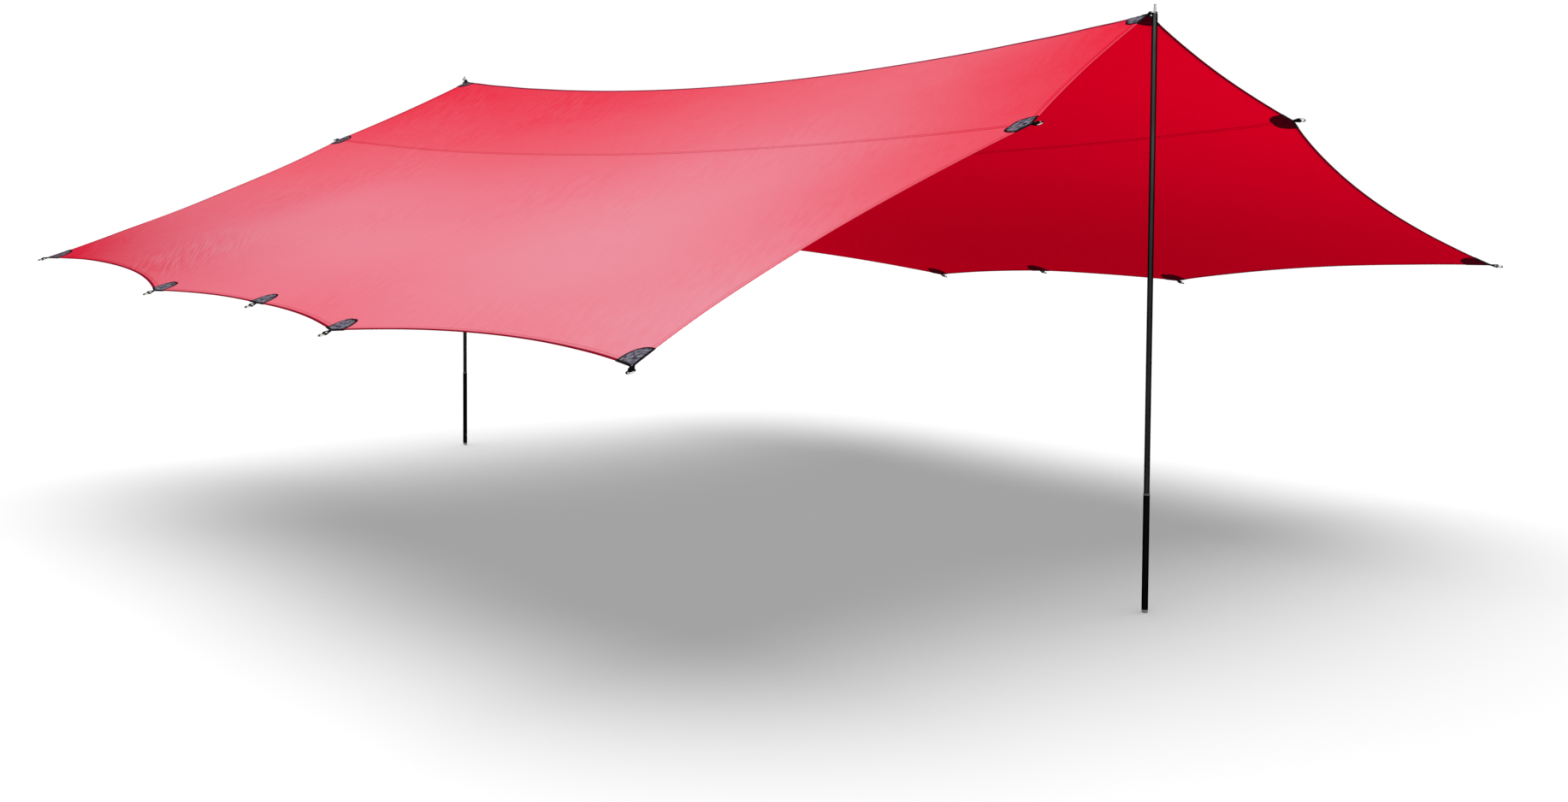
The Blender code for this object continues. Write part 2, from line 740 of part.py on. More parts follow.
def foot_cap(name, place):
    plug = TUBE_RADIUS + SLEEVE_PLAY - GAP
    profile = [(0, 0), (FOOT_BASE, 0), (FOOT_WAIST, FOOT_BEVEL), (sleeve_radius(), FOOT_HEIGHT - FOOT_BEVEL),
               (sleeve_radius(), FOOT_HEIGHT), (plug, FOOT_HEIGHT), (plug, FOOT_PLUG_TOP), (0, FOOT_PLUG_TOP)]
    return lathe(name, profile, place, "foot")


def sleeve_radius():
    return TUBE_RADIUS + SLEEVE_PLAY + OUTER_WALL


def outer_tube(name, place):
    bottom, top = FOOT_HEIGHT + GAP, SLEEVE_TOP - GUIDE_HEIGHT - GAP
    inner, outer = TUBE_RADIUS + SLEEVE_PLAY, sleeve_radius()
    profile = [(inner, bottom), (outer, bottom), (outer, top), (inner, top)]
    return lathe(name, profile, place, "sleeve")


def guide_ring(name, place):
    bottom, top = SLEEVE_TOP - GUIDE_HEIGHT, SLEEVE_TOP
    inner, outer = TUBE_RADIUS + GAP, sleeve_radius() + GUIDE_LIP
    edge = TUBE_EDGE
    profile = [(inner, bottom), (outer, bottom), (outer, top - edge), (outer - edge, top), (inner, top)]
    return lathe(name, profile, place, "guide")


def clamp_plug(name, place):
    # Clamping plug under the lowest tube, with its stem up the tube's bore.
    radius = TUBE_RADIUS + SLEEVE_PLAY - GAP
    stem = TUBE_RADIUS - TUBE_WALL - GAP
    top = SHAFT_BOTTOM - GAP
    bottom = top - CLAMP_LENGTH
    middle = (top + bottom) / 2
    groove = CLAMP_GROOVE
    profile = [(0, bottom), (radius - groove, bottom), (radius, bottom + groove), (radius, middle - groove),
               (radius - groove, middle), (radius, middle + groove), (radius, top), (stem, top),
               (stem, top + CLAMP_STEM), (0, top + CLAMP_STEM)]
    return lathe(name, profile, place, "clamp")


def foot_pin(name, place, facing, sleeve, foot):
    # Domed pin through the outer tube into the foot's plug.
    centre = Vector((place[0], place[1], PIN_HEIGHT))
    outside = sleeve_radius()
    for target in (sleeve, foot):
        hole = cylinder("hole", centre + facing * (outside - PIN_DEPTH / 2 + PIN_DOME),
                        facing, PIN_RADIUS + GAP, PIN_DEPTH + 2 * PIN_DOME + 2 * GAP, PIN_SEGMENTS)
        boolean(target, hole, "DIFFERENCE")
    side = facing.cross(Vector((0, 0, 1)))
    up = Vector((0, 0, 1))
    deep = outside - PIN_DEPTH
    under = outside + GAP
    profile = [(0, deep), (PIN_RADIUS, deep), (PIN_RADIUS, under), (PIN_HEAD, under),
               (PIN_DOME_RADIUS, under + PIN_DOME_RISE), (0, under + PIN_DOME)]
    points, rings, faces = [], [], []
    for radius, out in profile:
        count = PIN_SEGMENTS if radius else 1
        rings.append([len(points) + k % count for k in range(PIN_SEGMENTS)])
        for k in range(count):
            t = 2 * math.pi * k / PIN_SEGMENTS
            points.append(centre + facing * out + (side * math.cos(t) + up * math.sin(t)) * radius)
    for low, high in zip(rings, rings[1:]):
        for k in range(PIN_SEGMENTS):
            ahead = (k + 1) % PIN_SEGMENTS
            faces.append(tuple(dict.fromkeys((low[k], low[ahead], high[ahead], high[k]))))
    made = mesh_object(name, points, faces, "pin", centre, smooth=True)
    face_outwards(made)
    made.data.set_sharp_from_angle(angle=CREASE_ANGLE)
    return made


def pole(word, end):
    # Ground foot, outer tube, four plug-in tubes and the spike.
    place = (0, end * POLE_Y)
    joints = tuple(POLE_HEIGHT * share for share in SECTION_SHARES)
    bottoms = (SHAFT_BOTTOM,) + tuple(z + GAP for z in joints)
    tops = joints + (POLE_HEIGHT,)
    names = ("lower", "lower_middle", "upper_middle", "upper")
    for k, name in enumerate(names):
        shaft(f"{word}_{name}_tube", bottoms[k], tops[k], k < len(names) - 1, place)
    tip_spike(word + "_spike", place)
    sleeve = outer_tube(word + "_outer_tube", place)
    foot = foot_cap(word + "_foot", place)
    guide_ring(word + "_guide_ring", place)
    clamp_plug(word + "_clamp_plug", place)
    foot_pin(word + "_foot_pin", place, Vector((0, -end, 0)), sleeve, foot)


def group(root):
    # Every piece hangs from one empty at the origin.
    for made in list(bpy.context.scene.objects):
        if made is not root and made.parent is None:
            made.parent = root


def main():
    for old in list(bpy.data.objects):
        bpy.data.objects.remove(old)
    panels = canopy_panels()
    ties = tie_outs()
    for tie in ties:
        patch(tie, panels)
        ring(tie)
    for word, end in (("front", -1), ("rear", 1)):
        pole(word, end)
    root = bpy.data.objects.new("tarp", None)
    bpy.context.scene.collection.objects.link(root)
    group(root)


main()
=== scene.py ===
# Camping tarp on two poles: the looks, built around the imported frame. Metres, +Z up, the ridge runs along Y.
import json
import math

import bpy
import numpy as np
from mathutils import Matrix, Vector


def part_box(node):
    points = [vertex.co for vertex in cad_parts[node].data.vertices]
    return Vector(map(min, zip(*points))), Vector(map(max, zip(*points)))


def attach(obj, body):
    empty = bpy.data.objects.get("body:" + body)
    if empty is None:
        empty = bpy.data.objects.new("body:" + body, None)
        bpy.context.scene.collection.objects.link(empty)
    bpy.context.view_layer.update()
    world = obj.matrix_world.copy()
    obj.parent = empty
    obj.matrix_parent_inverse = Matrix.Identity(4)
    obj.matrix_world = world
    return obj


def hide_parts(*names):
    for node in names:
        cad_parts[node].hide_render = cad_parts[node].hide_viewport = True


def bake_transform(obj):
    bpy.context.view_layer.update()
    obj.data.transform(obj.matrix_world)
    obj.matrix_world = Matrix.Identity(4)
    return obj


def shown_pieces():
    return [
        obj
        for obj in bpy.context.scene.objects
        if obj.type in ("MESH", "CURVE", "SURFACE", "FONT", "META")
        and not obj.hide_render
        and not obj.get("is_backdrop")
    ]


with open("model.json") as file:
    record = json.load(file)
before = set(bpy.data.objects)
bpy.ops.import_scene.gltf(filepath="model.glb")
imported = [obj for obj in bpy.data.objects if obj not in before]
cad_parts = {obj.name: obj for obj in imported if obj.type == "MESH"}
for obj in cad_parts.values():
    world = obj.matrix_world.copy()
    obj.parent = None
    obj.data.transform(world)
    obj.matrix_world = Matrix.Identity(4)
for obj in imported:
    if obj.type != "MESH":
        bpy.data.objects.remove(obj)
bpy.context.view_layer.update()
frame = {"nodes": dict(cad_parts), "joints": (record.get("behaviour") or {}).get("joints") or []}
joints = {joint["child"]: joint for joint in frame["joints"]}
print("frame loaded:", len(frame["nodes"]), "nodes")


# Small helpers

def pickOnly(piece):
    bpy.ops.object.select_all(action="DESELECT")
    piece.select_set(True)
    bpy.context.view_layer.objects.active = piece


def applyModifier(piece, kind, **settings):
    pickOnly(piece)
    bpy.ops.object.modifier_add(type=kind)
    modifier = piece.modifiers[-1]
    for key, value in settings.items():
        setattr(modifier, key, value)
    bpy.ops.object.modifier_apply(modifier=modifier.name)


def thicken(piece, thickness, offset=-1.0, **more):
    applyModifier(piece, "SOLIDIFY", thickness=thickness, offset=offset, **more)


def addObject(name, data):
    made = bpy.data.objects.new(name, data)
    bpy.context.scene.collection.objects.link(made)
    return made


joinPoints = (bpy.ops.mesh.remove_doubles, {"threshold": 1e-6})
facesOut = (bpy.ops.mesh.normals_make_consistent, {"inside": False})


def inEditMode(piece, *steps):
    # Runs edit-mode operators on the whole of one piece
    pickOnly(piece)
    bpy.ops.object.mode_set(mode="EDIT")
    bpy.ops.mesh.select_all(action="SELECT")
    for step, settings in steps:
        step(**settings)
    bpy.ops.object.mode_set(mode="OBJECT")


def dress(piece, body, slot, *materials, angle=35):
    # Materials, smooth shading and the body that carries the piece
    if not piece.data.materials:
        for material in materials:
            piece.data.materials.append(material)
    pickOnly(piece)
    bpy.ops.object.shade_smooth_by_angle(angle=math.radians(angle))
    if body:
        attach(piece, body)
    return piece


# Material helpers: each input takes a value or a link

def rgba(colour, share=1.0, more=0.0):
    return (*(c * share + more for c in colour), 1)


def feed(tree, node, inputs):
    for key, value in inputs.items():
        if isinstance(value, bpy.types.NodeSocket):
            tree.links.new(value, node.inputs[key])
        else:
            node.inputs[key].default_value = value


def addNode(tree, kind, inputs, **settings):
    node = tree.nodes.new("ShaderNode" + kind)
    for key, value in settings.items():
        setattr(node, key, value)
    feed(tree, node, inputs)
    return node.outputs


def newMaterial(name, colour, roughness, metallic=0.0, specular=0.0):
    made = bpy.data.materials.new(name)
    made.use_nodes = True
    made.diffuse_color = rgba(colour)
    tree = made.node_tree
    shader = tree.nodes["Principled BSDF"]
    feed(tree, shader, {"Base Color": rgba(colour), "Roughness": roughness, "Metallic": metallic,
                        "Specular IOR Level": specular})
    return made, tree, shader


def finish(tree, shader, colour, roughness, normal):
    feed(tree, shader, {"Base Color": colour, "Roughness": roughness, "Normal": normal})


def calc(tree, operation, first, second=0.0):
    return addNode(tree, "Math", {0: first, 1: second}, operation=operation)[0]


def product(tree, *parts):
    total = parts[0]
    for part in parts[1:]:
        total = calc(tree, "MULTIPLY", total, part)
    return total


def plus(tree, base, value, share):
    return calc(tree, "ADD", base, product(tree, value, share))


def mixColour(tree, factor, first, second, blend="MIX"):
    return addNode(tree, "Mix", {"Factor": factor, 6: first, 7: second}, data_type="RGBA", blend_type=blend)[2]


def spread(tree, value, low, high, toLow=0.0, toHigh=1.0):
    inputs = dict(enumerate((value, low, high, toLow, toHigh)))
    return addNode(tree, "MapRange", inputs, interpolation_type="SMOOTHSTEP")[0]


def objectPlace(tree):
    return addNode(tree, "TexCoord", {})["Object"]


def uvPlace(tree):
    return addNode(tree, "UVMap", {}, uv_map="cloth")[0]


def coordinates(tree, place):
    return tuple(addNode(tree, "SeparateXYZ", {0: place}))


def facing(tree):
    return addNode(tree, "LayerWeight", {"Blend": 0.5})["Facing"]


def noiseMap(tree, place, scale, detail=3, turn=0, roughness=0.55):
    # With three scales the pattern is stretched along axes turned by these degrees
    if isinstance(scale, tuple):
        stretch = {"Vector": place, "Scale": [1 / s for s in scale], "Rotation": (0, 0, math.radians(turn))}
        place, scale = addNode(tree, "Mapping", stretch, vector_type="TEXTURE")[0], 1
    inputs = {"Vector": place, "Scale": scale, "Detail": detail, "Roughness": roughness}
    return addNode(tree, "TexNoise", inputs)["Fac"]


def threads(tree, place, period, direction):
    # One set of parallel threads, period in metres
    inputs = {"Vector": place, "Scale": math.pi / 10 / period}
    return addNode(tree, "TexWave", inputs, bands_direction=direction)["Fac"]


def weave(tree, place, period):
    warp = threads(tree, place, period, "X")
    weft = threads(tree, place, period, "Y")
    return product(tree, calc(tree, "ADD", warp, weft), 0.5)


def bump(tree, height, distance, strength=1.0, normal=None):
    inputs = {"Distance": distance, "Strength": strength, "Height": height}
    if normal:
        inputs["Normal"] = normal
    return addNode(tree, "Bump", inputs)[0]


def stitches(tree, rows, pitch, width, shown=0.68):
    # Dashes of thread along rows at these distances across the band
    along, across, _ = coordinates(tree, uvPlace(tree))
    dash = calc(tree, "LESS_THAN", calc(tree, "FRACT", calc(tree, "DIVIDE", along, pitch)), shown)
    lanes = 0.0
    for row in rows:
        away = calc(tree, "ABSOLUTE", calc(tree, "SUBTRACT", across, row))
        lanes = calc(tree, "MAXIMUM", lanes, spread(tree, away, width / 2, width / 4))
    return product(tree, dash, lanes), lanes, across


print("helpers ready")


# Cloth materials

clothLook = {
    "deep": (0.88, 0.017, 0.052),
    "pale": (0.865, 0.312, 0.388),
    "underHigh": (0.92, 0.0, 0.024),
    "underLow": (0.58, 0.0, 0.015),
    "thread": (0.30, 0.004, 0.018),
    "foldShading": (0.26, 0.004, 0.020),
    "highlight": (0.88, 0.13, 0.19),
    "ridgeFold": (0.20, 0.010, 0.045),
    "underThread": (0.20, 0.0, 0.006),
    "underFoldShade": (0.15, 0.0, 0.009),
    "cornerShade": (0.80, 0.90, 0.92),
    "cornerShadePlace": ([(0.9, 2.1)], [(-0.2, 2.2)]),
    "slub": (0.85, 0.70, 0.72),
    "slubShare": 0.20,
    "layered": 0.10,
    "ridgeWidth": (0.016, 0.007),
    "roughness": (0.46, 0.60),
    "underRoughness": (0.80, 0.95),
    "threadPeriod": 0.0007,
    "threadDepth": 0.00006,
    "stitchPitch": 0.0036,
    "stitchDepth": 0.00035,
    "puckerDepth": 0.0011,
    "lightThrough": 0.10,
}

# How much painted sheen, a pale veil of reflected sky, lies on the cloth: a share, then limits across from the ridge
# and along it, each from nothing to all
paintedSheenLook = {
    "base": 0.049,
    "clouds": 0.20,
    "cloudNoise": ((1.9, 0.8, 1), 4, 8, 0.5),
    "patchy": 0.16,
    "patchyNoise": ((5, 2.2, 1), 5, -12, 0.62),
    "patchyPlace": [(0.9, 0.1)],
    "grain": ((55, 0.10), (210, 0.17)),
    "regions": (
        (0.619, [(0.0, 1.53)], []),
        (0.267, [(1.53, 0.0)], [(-2.35, -1.1), (1.1, -1.2)]),
        (0.080, [(0.640, 0.660)], [(-1.6, 0.4)]),
        (-0.625, [(1.12, 2.14)], [(0.22, 2.46)]),
        (0.452, [(1.02, 1.94)], [(-1.34, -2.46)]),
        (-0.173, [(1.73, 0.90)], [(-1.20, -2.23)]),
        (-0.018, [], [(-0.2, 1.0)]),
        (-0.083, [], [(1.3, 2.3)]),
        (-0.205, [(1.5, 2.05)], []),
        (0.200, [(0.1, 0.8)], [(-2.2, -1.3), (-0.2, -1.2)]),
        (-0.151, [(0.6, 1.2), (1.9, 1.2)], [(0.9, 1.5)]),
    ),
}

# Creases: how often along and across, the detail and the turn in degrees
creaseLook = {
    "tucks": ((5.5, 118, 1), 0, 61),  # short ones by the rear side tie-out
    "tuckPlace": ([(1.42, 1.72), (2.00, 1.90)], [(0.75, 1.05), (1.75, 1.20)]),
    "tuckShading": 0.20,
    "tuckRise": 4.0,
    "drawn": ((10, 46, 1), 4, 34),  # fine ones along the pull
    "drawnShading": 0.07,
    "crossed": ((30, 8, 1), 3, -24),
    "crossedRise": 0.35,
    "depth": 0.0016,
}


def region(tree, spot, *limits):
    return product(tree, *(spread(tree, value, *pair) for value, pairs in zip(spot, limits) for pair in pairs))


def paintedSheen(tree, place, spot):
    # Painted sheen, a pale veil of reflected sky where the slopes face the sky; deep red along the ridge, at the front
    # edge and in the rear corners
    clouds = noiseMap(tree, place, *paintedSheenLook["cloudNoise"])
    pale = plus(tree, paintedSheenLook["base"], clouds, paintedSheenLook["clouds"])
    for share, *limits in paintedSheenLook["regions"]:
        pale = plus(tree, pale, region(tree, spot, *limits), share)
    patches = noiseMap(tree, place, *paintedSheenLook["patchyNoise"])
    patches = product(tree, patches, region(tree, spot, paintedSheenLook["patchyPlace"]))
    pale = plus(tree, pale, calc(tree, "SUBTRACT", patches, 0.25), paintedSheenLook["patchy"])
    for scale, share in paintedSheenLook["grain"]:
        pale = plus(tree, pale, calc(tree, "SUBTRACT", noiseMap(tree, place, scale), 0.5), share)
    return pale


def clothMaterial(name, under=False, rows=(), foldShading=None, foldWidth=0.0, threadWidth=0.0011, laneShade=0.40):
    first, last = ("underHigh", "underLow") if under else ("deep", "pale")
    made, tree, shader = newMaterial(name, clothLook[first], 0.5)
    place, flat = objectPlace(tree), uvPlace(tree)
    across, along, _ = coordinates(tree, place)
    spot = (calc(tree, "ABSOLUTE", across), along)
    tucks = noiseMap(tree, place, *creaseLook["tucks"])
    drawn = noiseMap(tree, place, *creaseLook["drawn"])
    crossed = noiseMap(tree, place, *creaseLook["crossed"])
    pulled = region(tree, spot, *creaseLook["tuckPlace"])
    where = spread(tree, noiseMap(tree, place, 1.7, 2), 0.40, 0.66)
    if under:  # painted shade: darker towards the side edges
        pale = spread(tree, spot[0], 0.25, 2.2)
    else:
        pale = paintedSheen(tree, place, spot)
        # painted highlight on the crease crests and painted shade in their hollows
        crest = product(tree, spread(tree, tucks, 0.40, 0.60, -0.5, 0.5), pulled)
        pale = plus(tree, pale, crest, creaseLook["tuckShading"])
        line = product(tree, spread(tree, drawn, 0.40, 0.60, -0.5, 0.5), where)
        pale = plus(tree, pale, line, creaseLook["drawnShading"])
        if rows:  # less painted sheen: two layers and a fold look deeper than one
            pale = calc(tree, "SUBTRACT", pale, clothLook["layered"])
    colour = mixColour(tree, pale, rgba(clothLook[first]), rgba(clothLook[last]))
    if not under:  # painted shade: duller towards the rear corners
        grey = mixColour(tree, 1.0, colour, rgba(clothLook["cornerShade"]), "MULTIPLY")
        colour = mixColour(tree, region(tree, spot, *clothLook["cornerShadePlace"]), colour, grey)
    slub = noiseMap(tree, flat, (40, 900, 1), 2)
    tinted = mixColour(tree, 1.0, colour, rgba(clothLook["slub"]), "MULTIPLY")
    colour = mixColour(tree, product(tree, slub, clothLook["slubShare"]), colour, tinted)
    creases = plus(tree, product(tree, drawn, where), crossed, creaseLook["crossedRise"])
    creases = plus(tree, creases, product(tree, tucks, pulled), creaseLook["tuckRise"])
    normal = bump(tree, creases, creaseLook["depth"], 0.55)
    normal = bump(tree, weave(tree, flat, clothLook["threadPeriod"]), clothLook["threadDepth"], 0.5, normal)
    if rows:
        sewn, lanes, inward = stitches(tree, rows, clothLook["stitchPitch"], threadWidth)
        thread = rgba(clothLook["underThread" if under else "thread"])
        # painted shade along the sunken stitch lines
        colour = mixColour(tree, product(tree, lanes, laneShade), colour, thread)
        colour = mixColour(tree, sewn, colour, thread)
        if foldShading:  # painted shade along the fold at the cloth's edge; on the front hems a painted highlight there instead
            edge = spread(tree, inward, foldWidth, foldWidth * 0.6)
            colour = mixColour(tree, edge, colour, rgba(clothLook[foldShading]))
        pucker = noiseMap(tree, flat, (95, 22, 1), 2)
        normal = bump(tree, pucker, clothLook["puckerDepth"], 0.75, normal)
        normal = bump(tree, plus(tree, sewn, lanes, -0.6), clothLook["stitchDepth"], 0.8, normal)
    elif not under:  # painted shade along the sharp turn of the ridge
        turn = spread(tree, spot[0], *clothLook["ridgeWidth"], 0.0, 0.9)
        colour = mixColour(tree, turn, colour, rgba(clothLook["ridgeFold"]))
    rough = clothLook["underRoughness" if under else "roughness"]
    finish(tree, shader, colour, spread(tree, noiseMap(tree, place, 2.3, 4), 0.3, 0.7, *rough), normal)
    glowing = addNode(tree, "BsdfTranslucent", {"Color": colour})[0]
    mix = addNode(tree, "MixShader", {0: clothLook["lightThrough"], 1: shader.outputs[0], 2: glowing})[0]
    feed(tree, tree.nodes["Material Output"], {0: mix})
    return made


hemRows, seamRows = (0.0028, 0.0185), (-0.0062, 0.0062)
clothTop = clothMaterial("clothTop")
clothUnder = clothMaterial("clothUnder", under=True)
hemTop = clothMaterial("hemTop", rows=hemRows, foldShading="foldShading", foldWidth=0.0110)
frontHemTop = clothMaterial("frontHemTop", rows=hemRows, foldShading="highlight", foldWidth=0.0030)
hemUnder = clothMaterial("hemUnder", under=True, rows=hemRows, foldShading="underFoldShade", foldWidth=0.0120)
seamTop = clothMaterial("seamTop", rows=seamRows, threadWidth=0.0022, laneShade=0.45)
seamUnder = clothMaterial("seamUnder", under=True, rows=seamRows, threadWidth=0.0036, laneShade=0.60)
print("cloth materials ready")


# The pitched shape of the cloth, the same as the frame's

tarp = {
    "poleHeight": 1.86,
    "ridgeEnd": 2.13076,
    "midX": 0.647,
    "midY": 2.231,
    "cornerX": 2.000,
    "cornerY": 2.239,
    "loopX": 2.047,
    "loopMidX": 1.968,
    "loopShare": 0.336,
    "seamShare": 0.339,
    "across": 2.1998,
    "leftCorner": (0.902472, 0.99789),
    "leftMid": (1.497486, 1.549566),
    "leftLoops": (0.884988, 0.922746, 0.92907),
    "rightCorner": (1.045692, 0.992496),
    "rightMid": (1.55124, 1.559982),
    "rightLoops": (0.917352, 0.935952, 0.883872),
    "ridgeSag": 0.121,
    "seamSag": (0.079, 0.097),
    "seamBow": 0.0065,
    "innerScallop": (0.042, 0.019, 0.003),
    "outerScallop": (0.127, 0.092, 0.118),
    "endScallop": 0.090,
    "middleScallop": 0.022,
    "endLift": 0.295,
    "middleLift": 0.287,
    "endBelly": 0.078,
    "sideBelly": 0.0435,
    "innerDrop": 0.068,
}


sides = ((-1, "left"), (1, "right"))
ends = ((-1, "front"), (1, "rear"))


def mixed(a, b, t):
    return a + (b - a) * t


def sideEdge(side, v):
    # Outer edge between the tie-outs, drawn in by its scallops
    word = "left" if side < 0 else "right"
    knots = np.array((-1.0, -tarp["loopShare"], 0.0, tarp["loopShare"], 1.0))
    xs = np.array([tarp[k] for k in ("cornerX", "loopX", "loopMidX", "loopX", "cornerX")])
    zs = np.array((tarp[word + "Corner"][0], *tarp[word + "Loops"], tarp[word + "Corner"][1]))
    k = np.clip(np.searchsorted(knots, v) - 1, 0, 3)
    s = (v - knots[k]) / (knots[k + 1] - knots[k])
    end = (k == 0) | (k == 3)
    bow = np.where(end, tarp["endScallop"], tarp["middleScallop"]) * 4 * s * (1 - s)
    lift = np.where(end, tarp["endLift"], tarp["middleLift"])
    return mixed(xs[k], xs[k + 1], s) - bow, mixed(zs[k], zs[k + 1], s) + lift * bow


def halfSurface(side, u, v):
    share, which = tarp["seamShare"], 0 if side < 0 else 1
    a, b = np.clip(u / share, 0, 1), np.clip((u - share) / (1 - share), 0, 1)
    inner = u <= share
    depths = [np.where(v < 0, tarp[key][which], tarp[key][2]) for key in ("innerScallop", "outerScallop")]
    inset = depths[0] * 4 * a * (1 - a)
    reach = np.where(inner, mixed(tarp["ridgeEnd"], tarp["midY"], a) - inset,
                     mixed(tarp["midY"], tarp["cornerY"], b) - depths[1] * 4 * b * (1 - b))
    drop = np.where(inner, tarp["innerDrop"] * inset, 0.0)
    middle = 1 - v * v
    mid = tarp["leftMid"] if side < 0 else tarp["rightMid"]
    ridgeZ = tarp["poleHeight"] - tarp["ridgeSag"] * middle
    seamX = tarp["midX"] + tarp["seamBow"] * middle
    seamZ = mixed(mid[0], mid[1], (v + 1) / 2) - tarp["seamSag"][which] * middle
    edgeX, edgeZ = sideEdge(side, v)
    atRidge = (u - share) * (u - 1) / share
    atSeam = u * (u - 1) / (share * (share - 1))
    atEdge = u * (u - share) / (1 - share)
    belly = u * (u - share) * (1 - u)
    x = atSeam * seamX + atEdge * edgeX + tarp["sideBelly"] * belly
    z = atRidge * ridgeZ + atSeam * seamZ + atEdge * edgeZ + tarp["endBelly"] * v * v * belly - drop * v * v
    return np.stack((side * x, v * reach, z), axis=-1)


def evenSurface(u, v):
    # u is negative on the left half, -1 and 1 at the side edges; v runs from -1 in front to 1 behind
    left = halfSurface(-1, np.abs(u), v)
    return np.where((u < 0)[..., None], left, halfSurface(1, np.abs(u), v))


# Folds that the pull draws out of the tie-outs: place, number round a full turn, depth, reach, start angle
folds = [
    ((-2.00, -2.24), 34, 0.0026, 0.55, 0.4),
    ((-2.00, 2.24), 46, 0.0034, 0.75, 1.1),
    ((2.00, -2.24), 30, 0.0030, 0.60, 2.0),
    ((2.00, 2.24), 34, 0.0026, 0.60, 0.9),
    ((-0.647, -2.231), 22, 0.0020, 0.50, 0.3),
    ((0.647, -2.231), 20, 0.0022, 0.50, 1.3),
    ((-0.647, 2.231), 22, 0.0020, 0.50, 2.3),
    ((0.647, 2.231), 20, 0.0020, 0.50, 0.2),
    ((0.0, -2.13), 26, 0.0018, 0.45, 0.0),
    ((0.0, 2.13), 26, 0.0018, 0.45, 0.0),
    ((-2.047, -0.752), 24, 0.0022, 0.32, 0.5),
    ((-1.968, 0.0), 24, 0.0018, 0.28, 1.5),
    ((-2.047, 0.752), 24, 0.0026, 0.35, 2.5),
    ((2.047, -0.752), 24, 0.0022, 0.32, 0.7),
    ((1.968, 0.0), 24, 0.0018, 0.28, 1.7),
    ((2.047, 0.752), 24, 0.0024, 0.32, 2.7),
]


rippleLook = {
    "broad": 0.0012,
    "foldShare": 0.62,
    "foldStart": 0.10,
    "foldRamp": 0.22,
    "wander": 1.4,
    "wanderCount": 3.1,
}


def ripple(points):
    x, y = points[..., 0], points[..., 1]
    height = rippleLook["broad"] * np.sin(2.1 * x + 1.3 * y + 0.7) * np.cos(2.9 * y - 0.8 * x)
    height = height * (1 - np.exp(-np.abs(x) * 6))  # none along the ridge
    for (px, py), count, depth, reach, phase in folds:
        away = np.hypot(x - px, y - py)
        around = np.arctan2(y - py, x - px)
        fade = np.clip((away - rippleLook["foldStart"]) / rippleLook["foldRamp"], 0, 1) ** 2 * np.exp(-away / reach)
        bend = rippleLook["wander"] * np.sin(rippleLook["wanderCount"] * around)
        height = height + rippleLook["foldShare"] * depth * fade * np.cos(count * around + phase + bend)
    return height


def unit(vectors):
    return vectors / np.linalg.norm(vectors, axis=-1, keepdims=True)


def clothPoints(u, v, lift):
    # Points at this height over the cloth's middle surface, carried straight on past its edges
    step = 0.002
    insideU, insideV = np.clip(u, -1, 1), np.clip(v, -1, 1)
    place = evenSurface(insideU, insideV)
    sign = np.where(u < 0, -1.0, 1.0)
    low, high = np.clip(np.abs(insideU) - step, 0, 1) * sign, np.clip(np.abs(insideU) + step, 0, 1) * sign
    back, ahead = np.clip(insideV - step, -1, 1), np.clip(insideV + step, -1, 1)
    outward = evenSurface(high, insideV) - evenSurface(low, insideV)
    onward = evenSurface(insideU, ahead) - evenSurface(insideU, back)
    normal = np.cross(outward, onward) * sign[..., None]
    normal[..., 0] = np.where(np.abs(u) < 1e-9, 0.0, normal[..., 0])
    past = np.maximum(np.abs(u) - 1, 0) * tarp["across"]
    place = place + unit(outward) * past[..., None]
    past = np.maximum(np.abs(v) - 1, 0) * tarp["cornerY"] * np.sign(v)
    place = place + unit(onward) * past[..., None]
    return place + unit(normal) * (ripple(place) + lift)[..., None]


def gridMesh(name, points, flat, *materials):
    # Quads over rows and columns of points; flat holds the two coordinates on the unrolled cloth
    rows, columns = points.shape[:2]
    index = np.arange(rows * columns).reshape(rows, columns)
    quads = np.stack((index[:-1, :-1], index[:-1, 1:], index[1:, 1:], index[1:, :-1]), axis=-1).reshape(-1, 4)
    mesh = bpy.data.meshes.new(name)
    mesh.from_pydata(points.reshape(-1, 3).tolist(), [], quads.tolist())
    layer = mesh.uv_layers.new(name="cloth")
    uv = np.stack(flat, axis=-1).reshape(-1, 2)
    layer.data.foreach_set("uv", uv[quads.reshape(-1)].reshape(-1).astype(np.float32))
    for material in materials:
        mesh.materials.append(material)
    return addObject(name, mesh)


# Cloth panels: each one curved sheet, with its own flat size

panelLook = {
    "thickness": 0.0005,
    "rows": 300,
    "columns": 96,
    "bendStart": 0.73,
    "bendEnd": 1.20,
}


def bendWing(piece):
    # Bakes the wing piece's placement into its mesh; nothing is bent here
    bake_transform(piece)


def panel(name, lowU, highU):
    v = np.linspace(-1, 1, panelLook["rows"] + 1)
    u = np.linspace(lowU, highU, panelLook["columns"] + 1)
    u[np.abs(u) < 1e-9] = 0.0
    grid = np.meshgrid(u, v)
    points = clothPoints(grid[0], grid[1], np.zeros(grid[0].shape))
    flat = grid[0] * tarp["across"], grid[1] * tarp["cornerY"]
    made = gridMesh(name, points, flat, clothTop, clothUnder)
    thicken(made, panelLook["thickness"], 0.0, material_offset=1)
    return made


share = tarp["seamShare"]
centreCloth = panel("centreCloth", -share, share)
leftCloth = panel("leftCloth", -1.0, -share)
rightCloth = panel("rightCloth", share, 1.0)
dress(centreCloth, "canopy", "cloth", angle=24)
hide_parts("centre_panel")
for cloth, (side, word) in zip((leftCloth, rightCloth), sides):
    dress(cloth, None, "cloth", angle=40)
    bendWing(cloth)
    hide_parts(word + "_panel")
print("panels ready")


# Bands along the cloth: folded hems round its edges and felled seams between the panels

